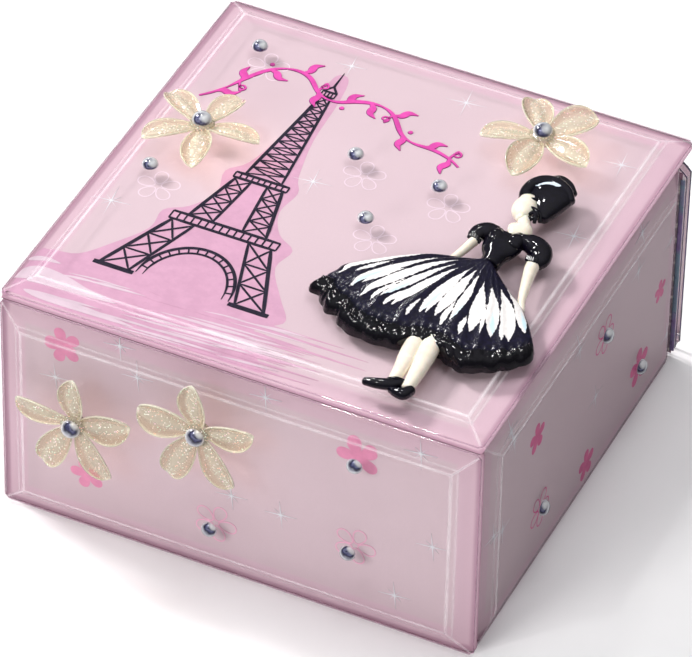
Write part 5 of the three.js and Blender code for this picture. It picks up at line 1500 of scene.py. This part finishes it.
sc = bpy.context.scene
sc.view_settings.view_transform = "Standard"
sc.view_settings.look = "None"
w = bpy.data.worlds.new("studio")
sc.world = w
w.use_nodes = True
nt = w.node_tree
nt.nodes.clear()
wo = nt.nodes.new("ShaderNodeOutputWorld")
bgc = nt.nodes.new("ShaderNodeBackground"); bgc.inputs[0].default_value = (1, 1, 1, 1); bgc.inputs[1].default_value = 1.0
bga = nt.nodes.new("ShaderNodeBackground"); bga.inputs[0].default_value = (1.0, 0.985, 0.975, 1); bga.inputs[1].default_value = 1.0
lp = nt.nodes.new("ShaderNodeLightPath")
mx = nt.nodes.new("ShaderNodeMixShader")
nt.links.new(lp.outputs["Is Camera Ray"], mx.inputs[0])
tcw = nt.nodes.new("ShaderNodeTexCoord")
sxw = nt.nodes.new("ShaderNodeSeparateXYZ")
nt.links.new(tcw.outputs["Generated"], sxw.inputs[0])
rw = nt.nodes.new("ShaderNodeValToRGB")
ew = rw.color_ramp.elements
while len(ew) < 5:
    ew.new(0.5)
for el, (p_, c_) in zip(ew, ((0.0, 0.12), (0.12, 0.11), (0.45, 0.15), (0.75, 0.32), (1.0, 0.46))):
    el.position, el.color = p_, (c_, c_, c_ * 1.02, 1)
nt.links.new(sxw.outputs["Z"], rw.inputs[0])
nt.links.new(rw.outputs[0], bga.inputs[0])
nt.links.new(bga.outputs[0], mx.inputs[1])
nt.links.new(bgc.outputs[0], mx.inputs[2])
nt.links.new(mx.outputs[0], wo.inputs[0])

def area(name, direction, dist, size, energy, color=(1, 1, 1), size_y=None, target=(0, 0, 0.05)):
    d = Vector(direction).normalized()
    l = bpy.data.lights.new(name, "AREA")
    l.energy = energy
    l.color = color
    l.shape = "RECTANGLE"
    l.size = size
    l.size_y = size_y or size
    o = bpy.data.objects.new(name, l)
    bpy.context.scene.collection.objects.link(o)
    o.location = Vector(target) + d * dist
    o.rotation_mode = "QUATERNION"
    o.rotation_quaternion = (-d).to_track_quat("-Z", "Y")
    return o
area("key", (-0.80, 0.22, 0.85), 1.9, 0.34, 27.5, (1, 0.985, 0.97))
area("front_fill", (-0.36, -0.90, 0.40), 1.9, 0.66, 17.0, (1, 0.985, 0.975)).visible_glossy = False
area("top", (0.1, 0.1, 1.0), 1.6, 0.8, 9.5, (0.98, 0.99, 1.0)).visible_glossy = False
area("spark", (-0.25, -0.45, 0.9), 1.0, 0.05, 1.2, (1, 1, 1))
# narrow strips that run a glint along the bevels
area("strip_front", (-0.33, 0.40, 0.86), 1.2, 0.10, 0.9, (1, 1, 1), 0.016)
area("strip_left", (-0.53, 0.70, 0.48), 1.2, 0.016, 0.7, (1, 1, 1), 0.10)

fl = bpy.data.meshes.new("floor")
s = 6.0
fl.from_pydata([(-s, -s, 0), (s, -s, 0), (s, s, 0), (-s, s, 0)], [], [(0, 1, 2, 3)])
floor = bpy.data.objects.new("floor", fl)
bpy.context.scene.collection.objects.link(floor)
FM = Mat("floor_paper")
fn = FM.noise(40, 3)
fr = FM.ramp(fn.outputs["Fac"], [(0.3, (0.93, 0.93, 0.93)), (0.7, (0.95, 0.95, 0.95))])
# painted shade: seen in reflections the floor turns dark grey, so the panes mirror a dim floor
flp = FM.n("ShaderNodeLightPath")
fmx = FM.n("ShaderNodeMix", data_type="RGBA")
FM.l(flp.outputs["Is Glossy Ray"], fmx.inputs[0]); FM.l(fr.outputs["Color"], fmx.inputs[6]); fmx.inputs[7].default_value = (0.26, 0.25, 0.26, 1)
FM.bsdf(fmx.outputs[2], 0.8, Specular_IOR_Level=0.1)
fl.materials.append(FM.end())
